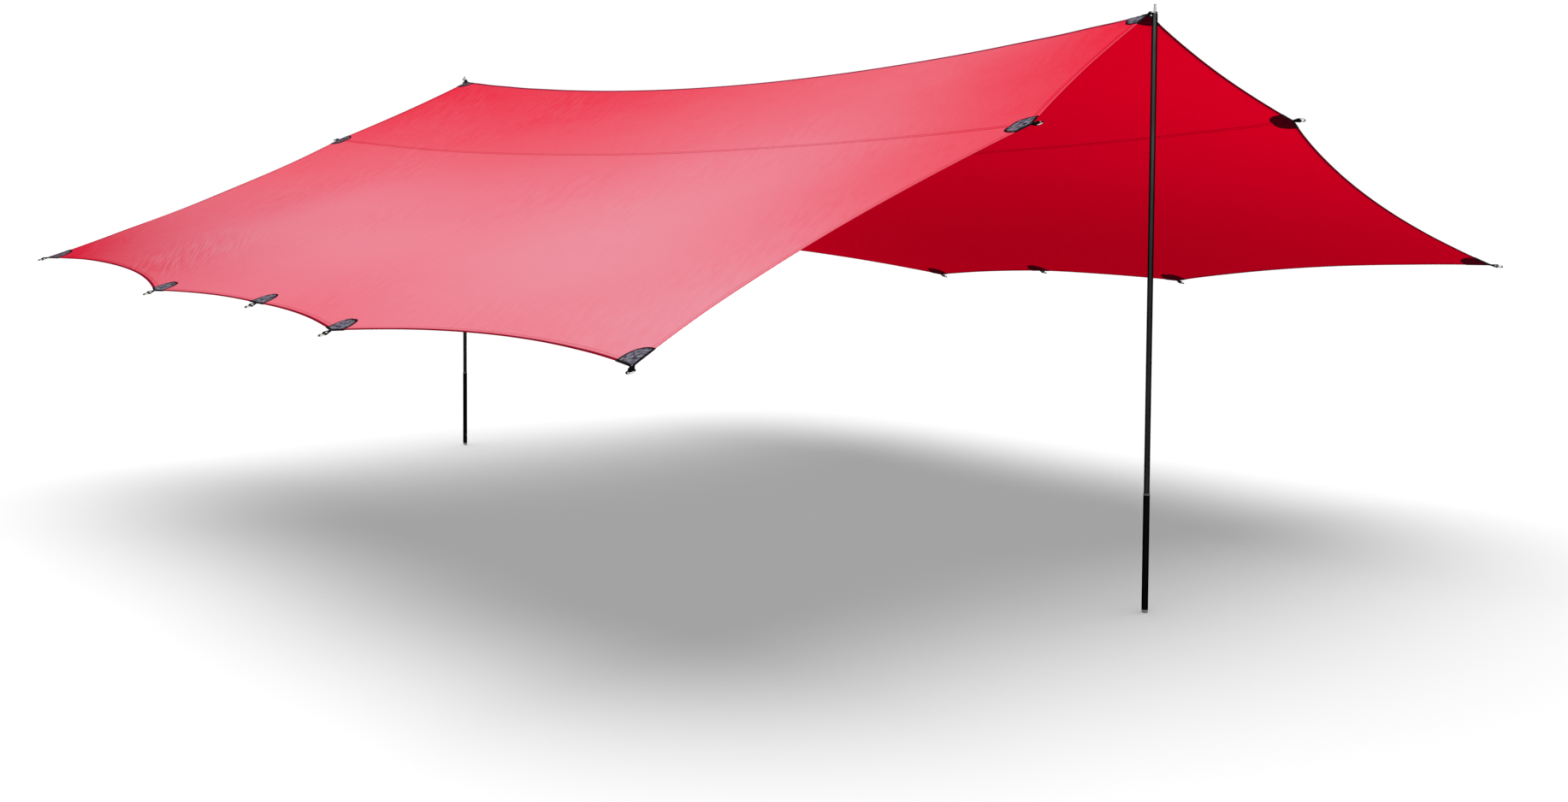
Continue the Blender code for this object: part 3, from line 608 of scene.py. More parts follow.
bandLook = {
    "hemWidth": 0.022,
    "hemHeight": 0.00065,
    "hemCloth": 0.0003,
    "seamWidth": 0.020,
    "seamHeight": 0.00085,
    "station": 0.006,
    "pucker": 0.00022,
    "puckerPitch": 0.021,
    "centreRun": 1.50,
    "wingRun": 1.46,
    "sideRun": 4.56,
    "seamRun": 4.5,
}


def band(name, lineU, lineV, profile, inwardU, inwardV, length, top, under):
    # profile holds (distance in from the line, height); inwardU and inwardV turn that distance into u and v
    away, lift = np.array(profile).T
    u = lineU[:, None] + inwardU * away[None, :]
    v = lineV[:, None] + inwardV * away[None, :]
    along = np.linspace(0, length, len(lineU))
    wave = np.sin(along * 2 * math.pi / bandLook["puckerPitch"] + 2.5 * np.sin(along * 9.3)) * np.sin(along * 5.1 + 1.0)
    height = lift[None, :] + bandLook["pucker"] * wave[:, None] * np.sign(lift)[None, :]
    made = gridMesh(name, clothPoints(u, v, height), np.meshgrid(away, along)[::-1], top, under)
    below = (lift[:-1] + lift[1:] < 0).astype(np.int32)
    made.data.polygons.foreach_set("material_index", np.tile(below, len(lineU) - 1))
    return made


def mirrored(top):
    return [(away, -lift) for away, lift in reversed(top)]


def hemProfile():
    width, high = bandLook["hemWidth"], bandLook["hemHeight"]
    top = [(width, high * 0.75), (width * 0.84, high), (width * 0.5, high * 1.1)]
    top += [(0.0028, high), (0.0006, high * 0.9)]
    return top + [(-0.0006, 0.0)] + mirrored(top)


def hem(name, lineU, lineV, inwardU, inwardV, length, flip, top):
    count = int(length / bandLook["station"])
    lines = np.linspace(*lineU, count), np.linspace(*lineV, count)
    made = band(name, *lines, hemProfile(), inwardU, inwardV, length, top, hemUnder)
    if flip:
        made.data.flip_normals()
    thicken(made, bandLook["hemCloth"])
    return made


def seamProfile():
    half, high = bandLook["seamWidth"] / 2, bandLook["seamHeight"]
    top = [(-half, 0.0003), (-half * 0.9, high * 0.7), (-half * 0.62, high * 0.8), (0, high)]
    top += [(half * 0.62, high * 0.9), (half * 0.95, high * 0.8), (half, 0.0003)]
    return top + mirrored(top) + top[:1]


bySheet = {"centre": [], "left": [], "right": []}
for end, endWord in ends:
    inwardV = -end / tarp["cornerY"]
    endTop = frontHemTop if end < 0 else hemTop
    piece = hem(endWord + "CentreHem", (-share, share), (end, end), 0, inwardV, bandLook["centreRun"], end < 0, endTop)
    dress(piece, "canopy", "cloth")
    bySheet["centre"].append(piece)
    for side, word in sides:
        name, line = endWord + word.title() + "Hem", (side * share, side)
        piece = hem(name, line, (end, end), 0, inwardV, bandLook["wingRun"], end * side > 0, endTop)
        dress(piece, None, "cloth")
        bendWing(piece)
        bySheet[word].append(piece)
for side, word in sides:
    inwardU = -side / tarp["across"]
    piece = hem(word + "SideHem", (side, side), (-1, 1), inwardU, 0, bandLook["sideRun"], side < 0, hemTop)
    dress(piece, word + "_wing", "cloth")
    bySheet[word].append(piece)
    count = int(bandLook["seamRun"] / bandLook["station"])
    lines = np.full(count, side * share), np.linspace(-1, 1, count)
    piece = band(word + "SeamBand", *lines, seamProfile(), 1 / tarp["across"], 0, bandLook["seamRun"],
                 seamTop, seamUnder)
    inEditMode(piece, joinPoints, (bpy.ops.mesh.fill_holes, {"sides": 20}), facesOut)
    dress(piece, "canopy", "seam")
    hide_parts(word + "_seam")
    bySheet[word].append(piece)
print("hems and seams ready")


# Tie-outs: a patch above and below the cloth, a bound edge, a webbing loop and a wire ring

patchLook = {
    "slate": (0.036, 0.033, 0.047),
    "slateLight": (0.262, 0.250, 0.310),
    "rearShade": (0.74, 0.58, 0.60),
    "rim": (0.026, 0.006, 0.011),
    "binding": (0.060, 0.036, 0.048),
    "tack": (0.018, 0.010, 0.012),
    "below": (0.080, 0.0008, 0.0062),
    "belowDark": (0.040, 0.0004, 0.0034),
    "webbing": (0.012, 0.012, 0.014),
    "worn": (0.055, 0.055, 0.060),
    "groove": (0.004, 0.004, 0.005),
    "stitchRows": (0.0030, 0.0125, 0.024, 0.037),
    "stitchPitch": 0.0034,
    "stitchWidth": 0.0012,
    "rimWidth": (0.0090, 0.0060),
    "threadPeriod": 0.0011,
    "lift": 0.0012,
    "strapLift": 0.0010,
    "strapHalf": 0.0105,
    "strapEnd": 0.034,
    "strapFade": 0.010,
    "puff": 0.0004,
    "puffEdge": 0.12,
    "puffWaves": (310, 270),
    "bindingWidth": 0.0055,
    "bindingPast": 0.0014,
    "bindingCloth": 0.0004,
    "thickness": 0.0005,
    "size": {"corner": (0.090, 0.092), "ridge": (0.062, 0.078), "mid": (0.055, 0.079), "side": (0.055, 0.079)},
    "roundness": 2.2,
    "rays": 40,
    "rings": 14,
}


def patchMaterial(name, light, deep, shadeRim=True):
    made, tree, shader = newMaterial(name, light, 0.7)
    place = objectPlace(tree)
    mottled = spread(tree, noiseMap(tree, place, 75, 3, 0, 0.6), 0.38, 0.58)
    colour = mixColour(tree, mottled, rgba(deep), rgba(light))
    cloth = weave(tree, place, patchLook["threadPeriod"])
    colour = mixColour(tree, product(tree, cloth, 0.3), colour, rgba(deep))
    sewn, lanes, inward = stitches(tree, patchLook["stitchRows"], patchLook["stitchPitch"], patchLook["stitchWidth"])
    thread = rgba(patchLook["rim"])
    if shadeRim:  # painted shade: darker towards the rear end
        shaded = mixColour(tree, 1.0, colour, rgba(patchLook["rearShade"]), "MULTIPLY")
        colour = mixColour(tree, spread(tree, coordinates(tree, place)[1], 0.6, 1.6), colour, shaded)
        colour = mixColour(tree, spread(tree, inward, *patchLook["rimWidth"]), colour, thread)
    # painted shade along the sunken stitch lines
    colour = mixColour(tree, product(tree, lanes, 0.5), colour, thread)
    colour = mixColour(tree, sewn, colour, thread)
    normal = bump(tree, cloth, 0.00012, 0.7)
    normal = bump(tree, plus(tree, sewn, lanes, -0.7), 0.0004, 0.9, normal)
    normal = bump(tree, noiseMap(tree, place, 46), 0.0009, 0.5, normal)
    finish(tree, shader, colour, spread(tree, noiseMap(tree, place, 60), 0.3, 0.7, 0.62, 0.80), normal)
    return made


def webbingMaterial(name, colour):
    # Flat woven tape: ribs across it and a thread line along each edge
    made, tree, shader = newMaterial(name, colour, 0.6)
    flat = uvPlace(tree)
    ribs = threads(tree, flat, 0.0012, "Y")
    lines = threads(tree, flat, 0.0022, "X")
    relief = product(tree, ribs, plus(tree, 0.5, lines, 0.5))
    worn = spread(tree, noiseMap(tree, objectPlace(tree), 180), 0.45, 0.75)
    tint = mixColour(tree, product(tree, worn, 0.4), rgba(colour), rgba(patchLook["worn"]))
    # painted shade in the grooves between the ribs
    tint = mixColour(tree, product(tree, relief, 0.5), rgba(patchLook["groove"]), tint)
    finish(tree, shader, tint, spread(tree, relief, 0, 1, 0.75, 0.52), bump(tree, relief, 0.00025, 0.9))
    return made


patchTop = patchMaterial("patchTop", patchLook["slateLight"], patchLook["slate"])
patchBelow = patchMaterial("patchBelow", patchLook["below"], patchLook["belowDark"], False)
edgeTape = webbingMaterial("edgeTape", patchLook["binding"])
webbingTape = webbingMaterial("webbingTape", patchLook["webbing"])
tackThread = webbingMaterial("tackThread", patchLook["tack"])

tieOuts = []
for end, endWord in ends:
    tieOuts.append(dict(name=endWord + "_ridge", kind="ridge", side=1, end=end, v=end, body="canopy"))
    for side, word in sides:
        for kind, body in (("mid", "canopy"), ("corner", word + "_wing")):
            tieOuts.append(dict(name=f"{endWord}_{word}_{kind}", kind=kind, side=side, end=end, v=end, body=body))
for side, word in sides:
    for v, place in ((-tarp["loopShare"], "front"), (0.0, "middle"), (tarp["loopShare"], "rear")):
        tieOuts.append(dict(name=f"{word}_side_{place}", kind="side", side=side, end=0, v=v, body=word + "_wing"))


def patchUV(tie, a, b):
    # a runs along the edge and b into the cloth, from the tie-out, in metres
    across, along, side, end = tarp["across"], tarp["cornerY"], tie["side"], tie["end"]
    if tie["kind"] == "side":
        return side * (1 - b / across), tie["v"] + a / along
    if tie["kind"] == "mid":
        return side * (tarp["seamShare"] + a / across), end * (1 - b / along)
    if tie["kind"] == "ridge":
        return a / across, end * (1 - b / along)
    return side * (1 - a / across), end * (1 - b / along)


def patchOutline(tie):
    half, deep = patchLook["size"][tie["kind"]]
    t = np.linspace(0, math.pi / (2 if tie["kind"] == "corner" else 1), patchLook["rays"] + 1)
    c, s = (np.where(np.abs(wave) < 1e-9, 0.0, wave) for wave in (np.cos(t), np.sin(t)))
    power = 2 / patchLook["roundness"]
    return np.sign(c) * np.abs(c) ** power * half, s ** power * deep


def running(steps):
    return np.concatenate(([0], np.cumsum(steps)))


def strapPlace(tie, a, b):
    # Distance off the webbing's line and along it into the cloth
    if tie["kind"] == "corner":
        return np.abs(a - b) / 2 ** 0.5, (a + b) / 2 ** 0.5
    return np.abs(a), b


def sewnSheet(tie, word, top, lift, a, b, flat, thickness):
    # An open sheet over or under the cloth, with its faces turned away from it
    points = clothPoints(*patchUV(tie, a, b), lift if top else -lift)
    made = gridMesh(tie["name"] + word + ("Top" if top else "Below"), points, flat)
    inEditMode(made, joinPoints)
    total = sum(face.normal.z * face.area for face in made.data.polygons)
    if (total > 0) != top:
        made.data.flip_normals()
    thicken(made, thickness)
    return made


def patchFace(tie, top):
    edgeA, edgeB = patchOutline(tie)
    shares = np.linspace(0, 1, patchLook["rings"] + 1) ** 0.8
    a, b = edgeA[:, None] * shares, edgeB[:, None] * shares
    away, deep = strapPlace(tie, a, b)
    bulge = np.clip(1 - away / patchLook["strapHalf"], 0, 1)
    bulge = bulge * np.clip((patchLook["strapEnd"] - deep) / patchLook["strapFade"], 0, 1)
    bulge = bulge * bulge * (3 - 2 * bulge)
    waves = patchLook["puffWaves"]
    puff = 0.5 + 0.5 * np.sin(a * waves[0] + 1.3) * np.cos(b * waves[1])
    puff = np.clip((1 - shares) / patchLook["puffEdge"], 0, 1)[None, :] * puff
    lift = patchLook["lift"] + patchLook["strapLift"] * bulge + patchLook["puff"] * puff
    around = running(np.hypot(np.diff(edgeA), np.diff(edgeB)))
    rim = (1 - shares)[None, :] * np.hypot(edgeA, edgeB)[:, None]
    flat = np.broadcast_to(around[:, None], rim.shape), rim
    return sewnSheet(tie, "_patch", top, lift, a, b, flat, patchLook["thickness"])


def edgeBinding(tie, lineA, lineB, inward, part):
    # Tape folded over the patch's free edge, flatter at its two ends
    high, width, past = patchLook["lift"] + patchLook["strapLift"], patchLook["bindingWidth"], patchLook["bindingPast"]
    steps = np.arange(len(lineA))
    taper = 0.8 + 0.2 * np.clip(np.minimum(steps, steps[::-1]) / 2.0, 0.25, 1.0)
    half = [(width, high - 0.0004), (width - 0.0005, high), (0.0012, high), (-past, 0.0006)]
    profile = half + mirrored(half)
    away, lift = np.array(profile).T
    along = running(np.hypot(np.diff(lineA), np.diff(lineB)))
    u, v = patchUV(tie, lineA[:, None] + away * inward[0], lineB[:, None] + away * inward[1])
    points = clothPoints(u, v, lift * taper[:, None])
    made = gridMesh(f"{tie['name']}_binding{part}", points, np.meshgrid(away, along))
    thicken(made, patchLook["bindingCloth"])
    inEditMode(made, facesOut)
    return made


# Webbing loops and the tacks that hold them

webbingLook = {
    "loopRadius": 0.00455,
    "half": 0.00075,
    "width": 0.0132,
    "thickness": 0.0012,
    "station": 0.0022,
    "cornerStart": (0.018, 0.018),
    "edgeStart": (0.0, 0.024),
    "tackHalf": 0.0062,
    "tackPlace": (0.0195, 0.0232),
    "tackMiddle": 0.02135,
    "tackDepth": 0.0019,
    "tackRise": 0.0008,
    "tackPitch": 0.0009,
    "tackLean": 500,
    "tackThickness": 0.0006,
}


def clothPoint(tie, a, b):
    u, v = patchUV(tie, np.array([a, a]), np.array([b, b]))
    return Vector(clothPoints(u, v, np.zeros(2))[0])


def loopFrame(tie):
    # The eye that the ring turns in, from the frame's joints and nodes
    joint = joints[tie["name"] + "_ring"]
    low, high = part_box(tie["name"] + "_ring")
    tie["eye"] = Vector(joint["pos_m"])
    tie["centre"] = (low + high) / 2
    tie["pull"] = (tie["centre"] - tie["eye"]).normalized()
    tie["tangent"] = Vector(joint["axis"]).normalized()
    tie["point"] = clothPoint(tie, 0.0, 0.0)
    tie["inside"] = clothPoint(tie, *webbingLook["cornerStart" if tie["kind"] == "corner" else "edgeStart"])


def webbingLoop(tie):
    # Two legs sewn between the patches, parting into a loop round the ring's wire
    start, eye, tangent = tie["point"], tie["eye"], tie["tangent"]
    run = (eye - start).length
    pull = (eye - start).normalized()
    above = tangent.cross(pull).normalized()
    above = above if above.z > 0 else -above
    radius, half = webbingLook["loopRadius"], webbingLook["half"]
    lean = math.asin((radius - half) / run)
    path = [tie["inside"] + above * half * 0.6, start + above * half]
    for k in range(21):
        t = mixed(math.pi / 2 + lean, -math.pi / 2 - lean, k / 20)
        path.append(eye + pull * radius * math.cos(t) + above * radius * math.sin(t))
    path += [start - above * half, tie["inside"] - above * half * 0.6]
    fine = [path[0]]
    for first, second in zip(path, path[1:]):  # even steps, so that the weave's relief lies on real faces
        steps = max(1, int((second - first).length / webbingLook["station"]))
        fine += [first.lerp(second, k / steps) for k in range(1, steps + 1)]
    across = np.linspace(-webbingLook["width"] / 2, webbingLook["width"] / 2, 9)
    points = np.array([[p + tangent * w for w in across] for p in fine])
    along = running([(q - p).length for p, q in zip(fine, fine[1:])])
    made = gridMesh(tie["name"] + "_webbing", points, np.meshgrid(across, along))
    thicken(made, webbingLook["thickness"], 0.0, use_even_offset=True)
    applyModifier(made, "BEVEL", width=0.0003, segments=2, limit_method="ANGLE", angle_limit=math.radians(50))
    return made


def barTack(tie, top):
    # Close zigzag of thread across the webbing, sewn through the patch
    half = webbingLook["tackHalf"]
    rows, columns = np.linspace(-half, half, 61), np.linspace(*webbingLook["tackPlace"], 7)
    across, deep = np.meshgrid(rows, columns, indexing="ij")
    a, b = across, deep
    if tie["kind"] == "corner":
        a, b = (deep + across) / 2 ** 0.5, (deep - across) / 2 ** 0.5
    body = np.sqrt(np.clip(1 - ((deep - webbingLook["tackMiddle"]) / webbingLook["tackDepth"]) ** 2, 0, 1))
    cords = np.sin(across * math.pi / webbingLook["tackPitch"] + deep * webbingLook["tackLean"])
    cords = 0.6 + 0.4 * np.abs(cords)
    lift = patchLook["lift"] + patchLook["strapLift"] + webbingLook["tackRise"] * body * cords
    return sewnSheet(tie, "_tack", top, lift, a, b, (across, deep), webbingLook["tackThickness"])


# Rings: bent wire with a thicker weld, modelled once and copied

ringLook = {
    "radius": 0.01075,
    "wire": 0.00175,
    "weldLength": 0.0042,
    "weldSwell": 1.14,
    "steel": (0.80, 0.78, 0.75),
    "steelDark": (0.012, 0.013, 0.014),
}


def steelMaterial(name, colour, roughness):
    # A round wire mirrors its dark surroundings towards its sides: a painted reflection, darker towards its sides
    made, tree, shader = newMaterial(name, colour, roughness, 1.0)
    place, rim = objectPlace(tree), facing(tree)
    lines = noiseMap(tree, place, (240, 240, 1900))
    specks = spread(tree, noiseMap(tree, place, 520, 4), 0.55, 0.75)
    tint = mixColour(tree, product(tree, specks, 0.35), rgba(colour), rgba(colour, 0.55))
    tint = mixColour(tree, spread(tree, rim, 0.10, 0.30), tint, rgba(ringLook["steelDark"]))
    feed(tree, shader, {"Metallic": spread(tree, rim, 0.14, 0.40, 1.0, 0.0)})
    rough = spread(tree, lines, 0.3, 0.7, roughness * 0.75, roughness * 1.5)
    finish(tree, shader, tint, rough, bump(tree, lines, 0.00003, 0.5))
    return made


ringSteel = steelMaterial("ringSteel", ringLook["steel"], 0.20)


def masterRing():
    bpy.ops.mesh.primitive_torus_add(major_radius=ringLook["radius"], minor_radius=ringLook["wire"],
                                     major_segments=64, minor_segments=16)
    made = bpy.context.object
    made.name = "masterRing"
    mesh = made.data
    for vertex in mesh.vertices:  # the weld, on the side away from the webbing
        away = abs(math.atan2(vertex.co.y, vertex.co.x)) * ringLook["radius"]
        vertex.select = away < ringLook["weldLength"] / 2
    for part in (*mesh.edges, *mesh.polygons):
        part.select = all(mesh.vertices[k].select for k in part.vertices)
    bpy.ops.object.mode_set(mode="EDIT")
    swell = ringLook["weldSwell"]
    bpy.ops.transform.resize(value=(swell, 1, swell), center_override=(ringLook["radius"], 0, 0),
                             use_proportional_edit=True, proportional_size=0.0012, proportional_edit_falloff="SMOOTH")
    bpy.ops.object.mode_set(mode="OBJECT")
    made.data.materials.append(ringSteel)
    return made


ringMaster = masterRing()
for tie in tieOuts:
    loopFrame(tie)
    name, body, pull, tangent = (tie[key] for key in ("name", "body", "pull", "tangent"))
    up = pull.cross(tangent)
    copy = addObject(name + "_wireRing", ringMaster.data.copy())
    turn = Matrix((pull, tangent, up)).transposed().to_4x4()
    copy.data.transform(Matrix.Translation(tie["centre"]) @ turn)
    dress(copy, name + "_ring", "ring")
    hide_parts(name + "_ring")
    sheetWord = "centre" if body == "canopy" else body.split("_")[0]
    made = []
    for top in (True, False):
        face = patchFace(tie, top)
        dress(face, body, "patch", patchTop if top else patchBelow)
        tack = barTack(tie, top)
        dress(tack, body, "patch", tackThread)
        made += [face, tack]
    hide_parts(name + "_patch")
    half, deep = patchLook["size"][tie["kind"]]
    if tie["kind"] == "corner":
        lines = [(np.linspace(0, half, 21), np.zeros(21), (0, 1)), (np.zeros(21), np.linspace(0, deep, 21), (1, 0))]
    else:
        lines = [(np.linspace(-half, half, 33), np.zeros(33), (0, 1))]
    for k, (lineA, lineB, inward) in enumerate(lines):
        binding = edgeBinding(tie, lineA, lineB, inward, k + 1)
        made.append(dress(binding, body, "patch", edgeTape))
    made.append(dress(webbingLoop(tie), body, "patch", webbingTape))
    bySheet[sheetWord] += made
bpy.data.objects.remove(ringMaster)
print("tie-outs ready")


# Poles: plug-in tubes over a clamped outer tube, a turned spike on top and a moulded foot

poleLook = {
    "y": 2.153,
    "radius": 0.0090,
    "bore": 0.0081,
    "spigot": 0.0078,
    "sleeve": 0.01025,
    "sleeveBore": 0.00935,
    "edge": 0.0006,
    "crimp": 0.00022,
    "joints": (0.45849, 0.952506, 1.407462),
    "bottom": 0.0983,
    "top": 1.86,
    "spigotLength": 0.052,
    "sleeveTop": 0.375,
    "sleeveEdge": 0.0003,
    "guideHeight": 0.006,
    "footHeight": 0.010,
    "gap": 0.0003,
    "sides": 56,
}

poleFinish = {
    "tube": (0.060, 0.064, 0.062),
    "sleeve": (0.004, 0.004, 0.004),
    "shadedLow": (0.004, 0.004, 0.004),
    "scuff": (0.12, 0.12, 0.12),
    "tubeDark": (0.002, 0.002, 0.002),
    "spike": (0.62, 0.63, 0.64),
    "pin": (0.34, 0.34, 0.35),
    "foot": (0.34, 0.34, 0.335),
    "guide": (0.105, 0.105, 0.11),
    "clamp": (0.050, 0.050, 0.055),
}


def anodised(name, colour, roughness, scuff):
    # Dark drawn tube: fine lines along it, cloudy sheen and pale scuffs
    made, tree, shader = newMaterial(name, colour, roughness, 0.45)
    place, rim = objectPlace(tree), facing(tree)
    drawn = noiseMap(tree, place, (1500, 1500, 9), 2)
    cloudy = noiseMap(tree, place, (60, 60, 7), 4)
    marks = spread(tree, noiseMap(tree, place, (420, 420, 70), 5), 0.66, 0.78)
    tint = mixColour(tree, spread(tree, cloudy, 0.3, 0.7), rgba(colour), rgba(colour, 1.55, 0.002))
    tint = mixColour(tree, product(tree, marks, scuff), tint, rgba(poleFinish["scuff"]))
    lower = spread(tree, coordinates(tree, place)[2], 1.75, 0.85, 0.0, 0.72)  # painted shade: darker lower down, the gloss kept to the upper part
    tint = mixColour(tree, lower, tint, rgba(poleFinish["shadedLow"]))
    # painted reflection: gloss along the middle, none towards the sides
    tint = mixColour(tree, spread(tree, rim, 0.01, 0.26, 0.0, 0.97), tint, rgba(poleFinish["tubeDark"]))
    feed(tree, shader, {"Metallic": spread(tree, rim, 0.04, 0.30, 0.45, 0.0)})
    rough = spread(tree, drawn, 0.25, 0.75, roughness * 0.8, roughness * 1.3)
    finish(tree, shader, tint, rough, bump(tree, drawn, 0.00004, 0.45))
    return made


def moulded(name, colour, roughness, grain):
    made, tree, shader = newMaterial(name, colour, roughness, specular=0.4)
    place = objectPlace(tree)
    fine, broad = noiseMap(tree, place, 2600, 2), noiseMap(tree, place, 160, 4)
    tint = mixColour(tree, spread(tree, broad, 0.35, 0.7), rgba(colour), rgba(colour, 0.72))
    rough = spread(tree, broad, 0.3, 0.7, roughness * 0.85, min(1.0, roughness * 1.2))
    normal = bump(tree, broad, 0.00012, grain * 0.5, bump(tree, fine, 0.00005, grain))
    finish(tree, shader, tint, rough, normal)
    return made


tubeFinish = anodised("tubeFinish", poleFinish["tube"], 0.34, 0.4)
sleeveFinish = anodised("sleeveFinish", poleFinish["sleeve"], 0.46, 0.25)
spikeSteel = steelMaterial("spikeSteel", poleFinish["spike"], 0.26)
pinSteel = steelMaterial("pinSteel", poleFinish["pin"], 0.34)
footPlastic = moulded("footPlastic", poleFinish["foot"], 0.66, 0.8)
guidePlastic = moulded("guidePlastic", poleFinish["guide"], 0.58, 0.6)
clampPlastic = moulded("clampPlastic", poleFinish["clamp"], 0.62, 0.6)


def turned(name, profile, place):
    # A circle extruded and resized along the profile of (radius, height), which ends where it starts for an open tube
    through = profile[0] == profile[-1]
    radius, height = profile[0]
    bpy.ops.mesh.primitive_circle_add(vertices=poleLook["sides"], radius=radius, location=(*place, height),
                                      fill_type="NOTHING" if through else "NGON")
    made = bpy.context.object
    made.name = name
    bpy.ops.object.transform_apply(location=True, rotation=True, scale=True)
    bpy.ops.object.mode_set(mode="EDIT")
    bpy.ops.mesh.select_all(action="SELECT")
    for nextRadius, nextHeight in profile[1:]:
        bpy.ops.mesh.extrude_region_move(TRANSFORM_OT_translate={"value": (0, 0, nextHeight - height)})
        ratio = nextRadius / radius
        bpy.ops.transform.resize(value=(ratio, ratio, 1), center_override=(place[0], place[1], nextHeight))
        radius, height = nextRadius, nextHeight
    bpy.ops.object.mode_set(mode="OBJECT")
    if through:
        inEditMode(made, joinPoints)
    inEditMode(made, facesOut)
    return made


def tubeProfile(bottom, top, spigot):
    r, bore, edge, crimp = (poleLook[key] for key in ("radius", "bore", "edge", "crimp"))
    profile = [(bore, bottom + 0.060), (bore, bottom), (r - edge, bottom), (r - edge * 0.3, bottom + edge * 0.3)]
    profile += [(r, bottom + edge), (r, bottom + 0.0105), (r - crimp, bottom + 0.0118)]
    profile += [(r - crimp, bottom + 0.0132), (r, bottom + 0.0145)]
    profile += [(r, top - edge), (r - edge * 0.3, top - edge * 0.3), (r - edge, top)]
    if spigot:
        s, end = poleLook["spigot"], top + poleLook["spigotLength"]
        profile += [(s, top), (s, end - 0.0012), (s - 0.0003, end - 0.0004), (s - 0.0008, end), (s - 0.0014, end)]
        profile += [(s - 0.0014, top - 0.03), (bore, top - 0.03)]
    else:
        profile += [(bore, top)]
    return profile + profile[:1]


def sleeveProfile():
    r, bore, edge = (poleLook[key] for key in ("sleeve", "sleeveBore", "sleeveEdge"))
    low = poleLook["footHeight"] + poleLook["gap"]
    high = poleLook["sleeveTop"] - poleLook["guideHeight"] - poleLook["gap"]
    profile = [(bore, low + 0.05), (bore, low), (r - edge, low), (r, low + edge), (r, low + 0.0018)]
    profile += [(r - 0.00018, low + 0.0026), (r - 0.00018, low + 0.0034), (r, low + 0.0042)]
    profile += [(r, high - 0.016), (r - 0.0002, high - 0.0148), (r - 0.0002, high - 0.0138), (r, high - 0.0126)]
    profile += [(r, high - edge), (r - edge, high), (bore, high)]
    return profile + profile[:1]


def guideProfile():
    r, bore, high = (poleLook[key] for key in ("sleeve", "sleeveBore", "sleeveTop"))
    low, lip, neck = high - poleLook["guideHeight"], r + 0.0003, r + 0.00012
    profile = [(bore, low), (r, low), (lip, low + 0.0004), (lip, low + 0.0019), (neck, low + 0.0022)]
    profile += [(neck, low + 0.0026), (lip, low + 0.0029), (lip, high - 0.0012), (r, high - 0.0004)]
    profile += [(r - 0.0004, high), (bore, high)]
    return profile + profile[:1]


spikeProfile = [
    (0.0078, 1.8302), (0.0078, 1.8597), (0.0072, 1.8600), (0.0040, 1.8600), (0.00375, 1.86025), (0.00375, 1.8640),
    (0.0036, 1.8643), (0.00375, 1.8646), (0.00375, 1.8782), (0.0034, 1.8791), (0.0027, 1.8796), (0.0026, 1.8802),
    (0.0026, 1.8826), (0.0028, 1.8831), (0.0036, 1.8838), (0.00375, 1.8843), (0.00375, 1.8868), (0.0034, 1.8879),
    (0.0027, 1.8886), (0.0016, 1.8890), (0.0004, 1.8890),
]
footProfile = [
    (0.0052, 0.0004), (0.0056, 0.0), (0.0066, 0.0), (0.0078, 0.0005), (0.0088, 0.0022), (0.0096, 0.0042),
    (0.01025, 0.0078), (0.0102, 0.0095), (0.0098, 0.0100), (0.00905, 0.0100), (0.00905, 0.064), (0.0080, 0.065),
    (0.0004, 0.065),
]
bottoms = (poleLook["bottom"],) + tuple(z + poleLook["gap"] for z in poleLook["joints"])
tops = poleLook["joints"] + (poleLook["top"],)
poleParts = [  # new piece, profile, body, slot, finish, the node that it replaces
    (name + "_poleTube", tubeProfile(low, high, name != "upper"), name + "_tube", "tube", tubeFinish, name + "_tube")
    for name, low, high in zip(("lower", "lower_middle", "upper_middle", "upper"), bottoms, tops)
]
poleParts += [
    ("turnedSpike", spikeProfile, "upper_tube", "spike", spikeSteel, "spike"),
    ("outerSleeve", sleeveProfile(), "outer_tube", "sleeve", sleeveFinish, "outer_tube"),
    ("guideCollar", guideProfile(), "outer_tube", "guide", guidePlastic, "guide_ring"),
    ("mouldedFoot", footProfile, "outer_tube", "foot", footPlastic, "foot"),
]
for end, word in ends:
    for name, profile, body, slot, material, node in poleParts:
        piece = turned(f"{word}_{name}", profile, (0.0, end * poleLook["y"]))
        dress(piece, f"{word}_{body}", slot, material)
        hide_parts(f"{word}_{node}")
    for node, material in (("foot_pin", pinSteel), ("clamp_plug", clampPlastic)):
        kept = frame["nodes"][f"{word}_{node}"]
        kept.data.materials.clear()
        kept.data.materials.append(material)
print("poles ready")
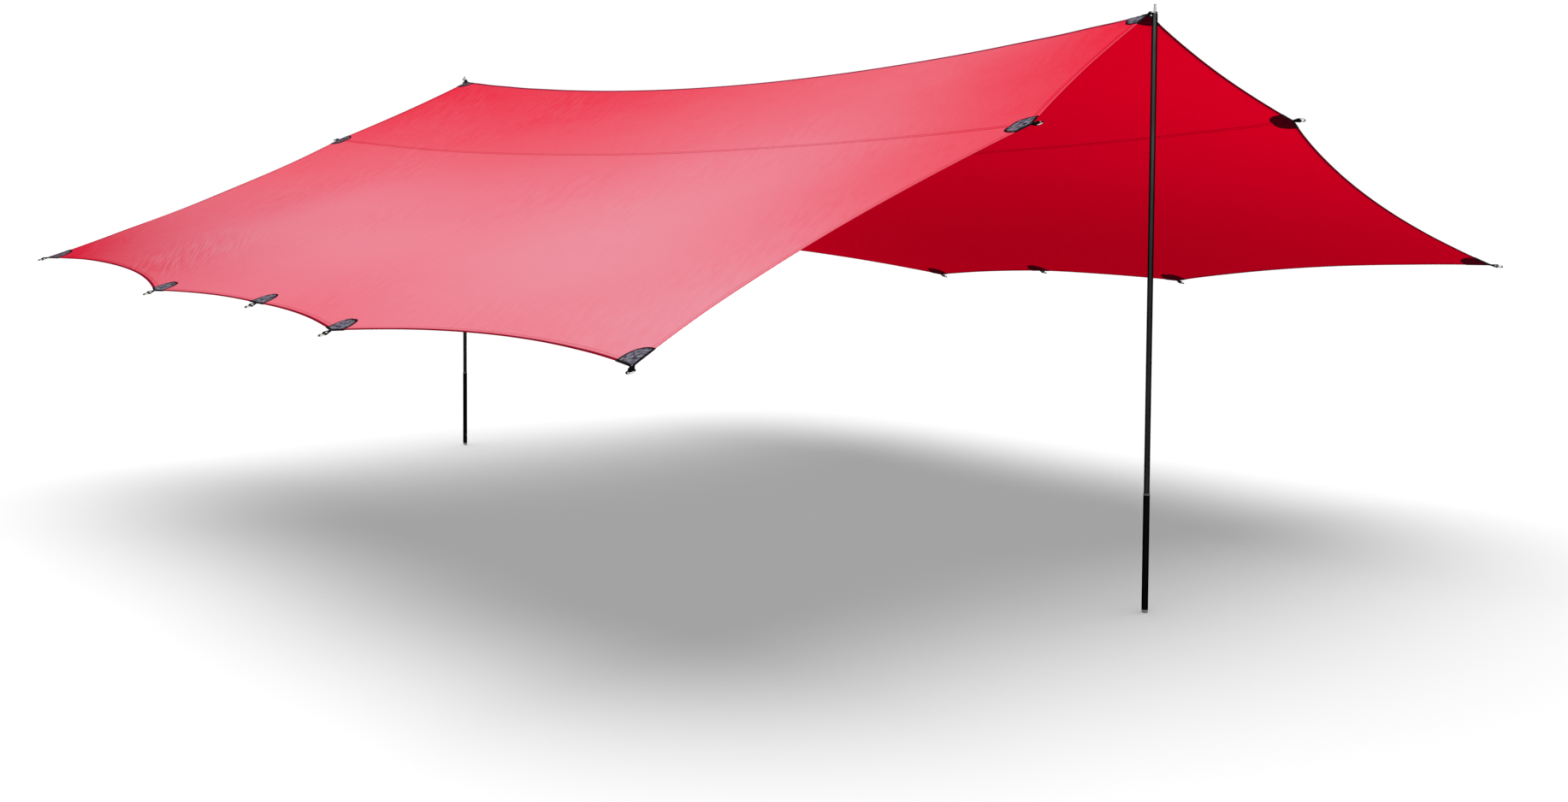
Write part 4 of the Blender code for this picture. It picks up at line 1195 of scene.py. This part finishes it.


# Floor, light and camera

studio = {
    "floorSize": 120.0,
    "floorColour": 0.95,
    "skyLight": 0.285,
    "sunLight": 2.66,
    "sunSpread": 76.0,
    "sunLean": (-11.0, 0.0),
    "cameraPlace": (-4.0922, -5.2616, 1.2918),
    "cameraTurn": (87.485, -0.408, -40.018),
    "imageSize": (1833, 938),
    "sensorWidth": 36,
    "focalPixels": 1896.17,
    "axisPixels": 312.43,
}
bpy.ops.mesh.primitive_plane_add(size=studio["floorSize"], location=(0, 0, 0))
floor = bpy.context.object
floor.name = "floor"
floorMade = newMaterial("floorPaint", (studio["floorColour"],) * 3, 1.0)[0]
floor.data.materials.append(floorMade)
floor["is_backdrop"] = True

world = bpy.data.worlds.new("studioWorld")
bpy.context.scene.world = world
world.use_nodes = True
world.cycles.sampling_method = "NONE"
tree = world.node_tree
sky = tree.nodes["Background"]
rays = addNode(tree, "LightPath", {})
seen = rays["Is Camera Ray"]
for kind in ("Is Glossy Ray", "Is Transmission Ray"):
    seen = calc(tree, "MAXIMUM", seen, rays[kind])
feed(tree, sky, {"Color": (1, 1, 1, 1), "Strength": plus(tree, studio["skyLight"], seen, 1 - studio["skyLight"])})

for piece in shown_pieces():
    if piece.name.endswith(("Cloth", "Hem", "SeamBand")):
        piece.visible_diffuse = False  # the floor stays neutral, with no red cast

sun = addObject("overhead", bpy.data.lights.new("overhead", "SUN"))
sun.data.energy = studio["sunLight"]
sun.data.angle = math.radians(studio["sunSpread"])
sun.rotation_euler = [math.radians(a) for a in (*studio["sunLean"], 0)]

camera = addObject("camera", bpy.data.cameras.new("camera"))
camera.location = studio["cameraPlace"]
camera.rotation_euler = [math.radians(a) for a in studio["cameraTurn"]]
wide, tall = studio["imageSize"]
camera.data.sensor_width = studio["sensorWidth"]
camera.data.lens = studio["focalPixels"] * studio["sensorWidth"] / wide
camera.data.shift_y = (studio["axisPixels"] - tall / 2) / wide
bpy.context.scene.camera = camera
bpy.context.scene.view_settings.view_transform = "Standard"
print("studio ready")
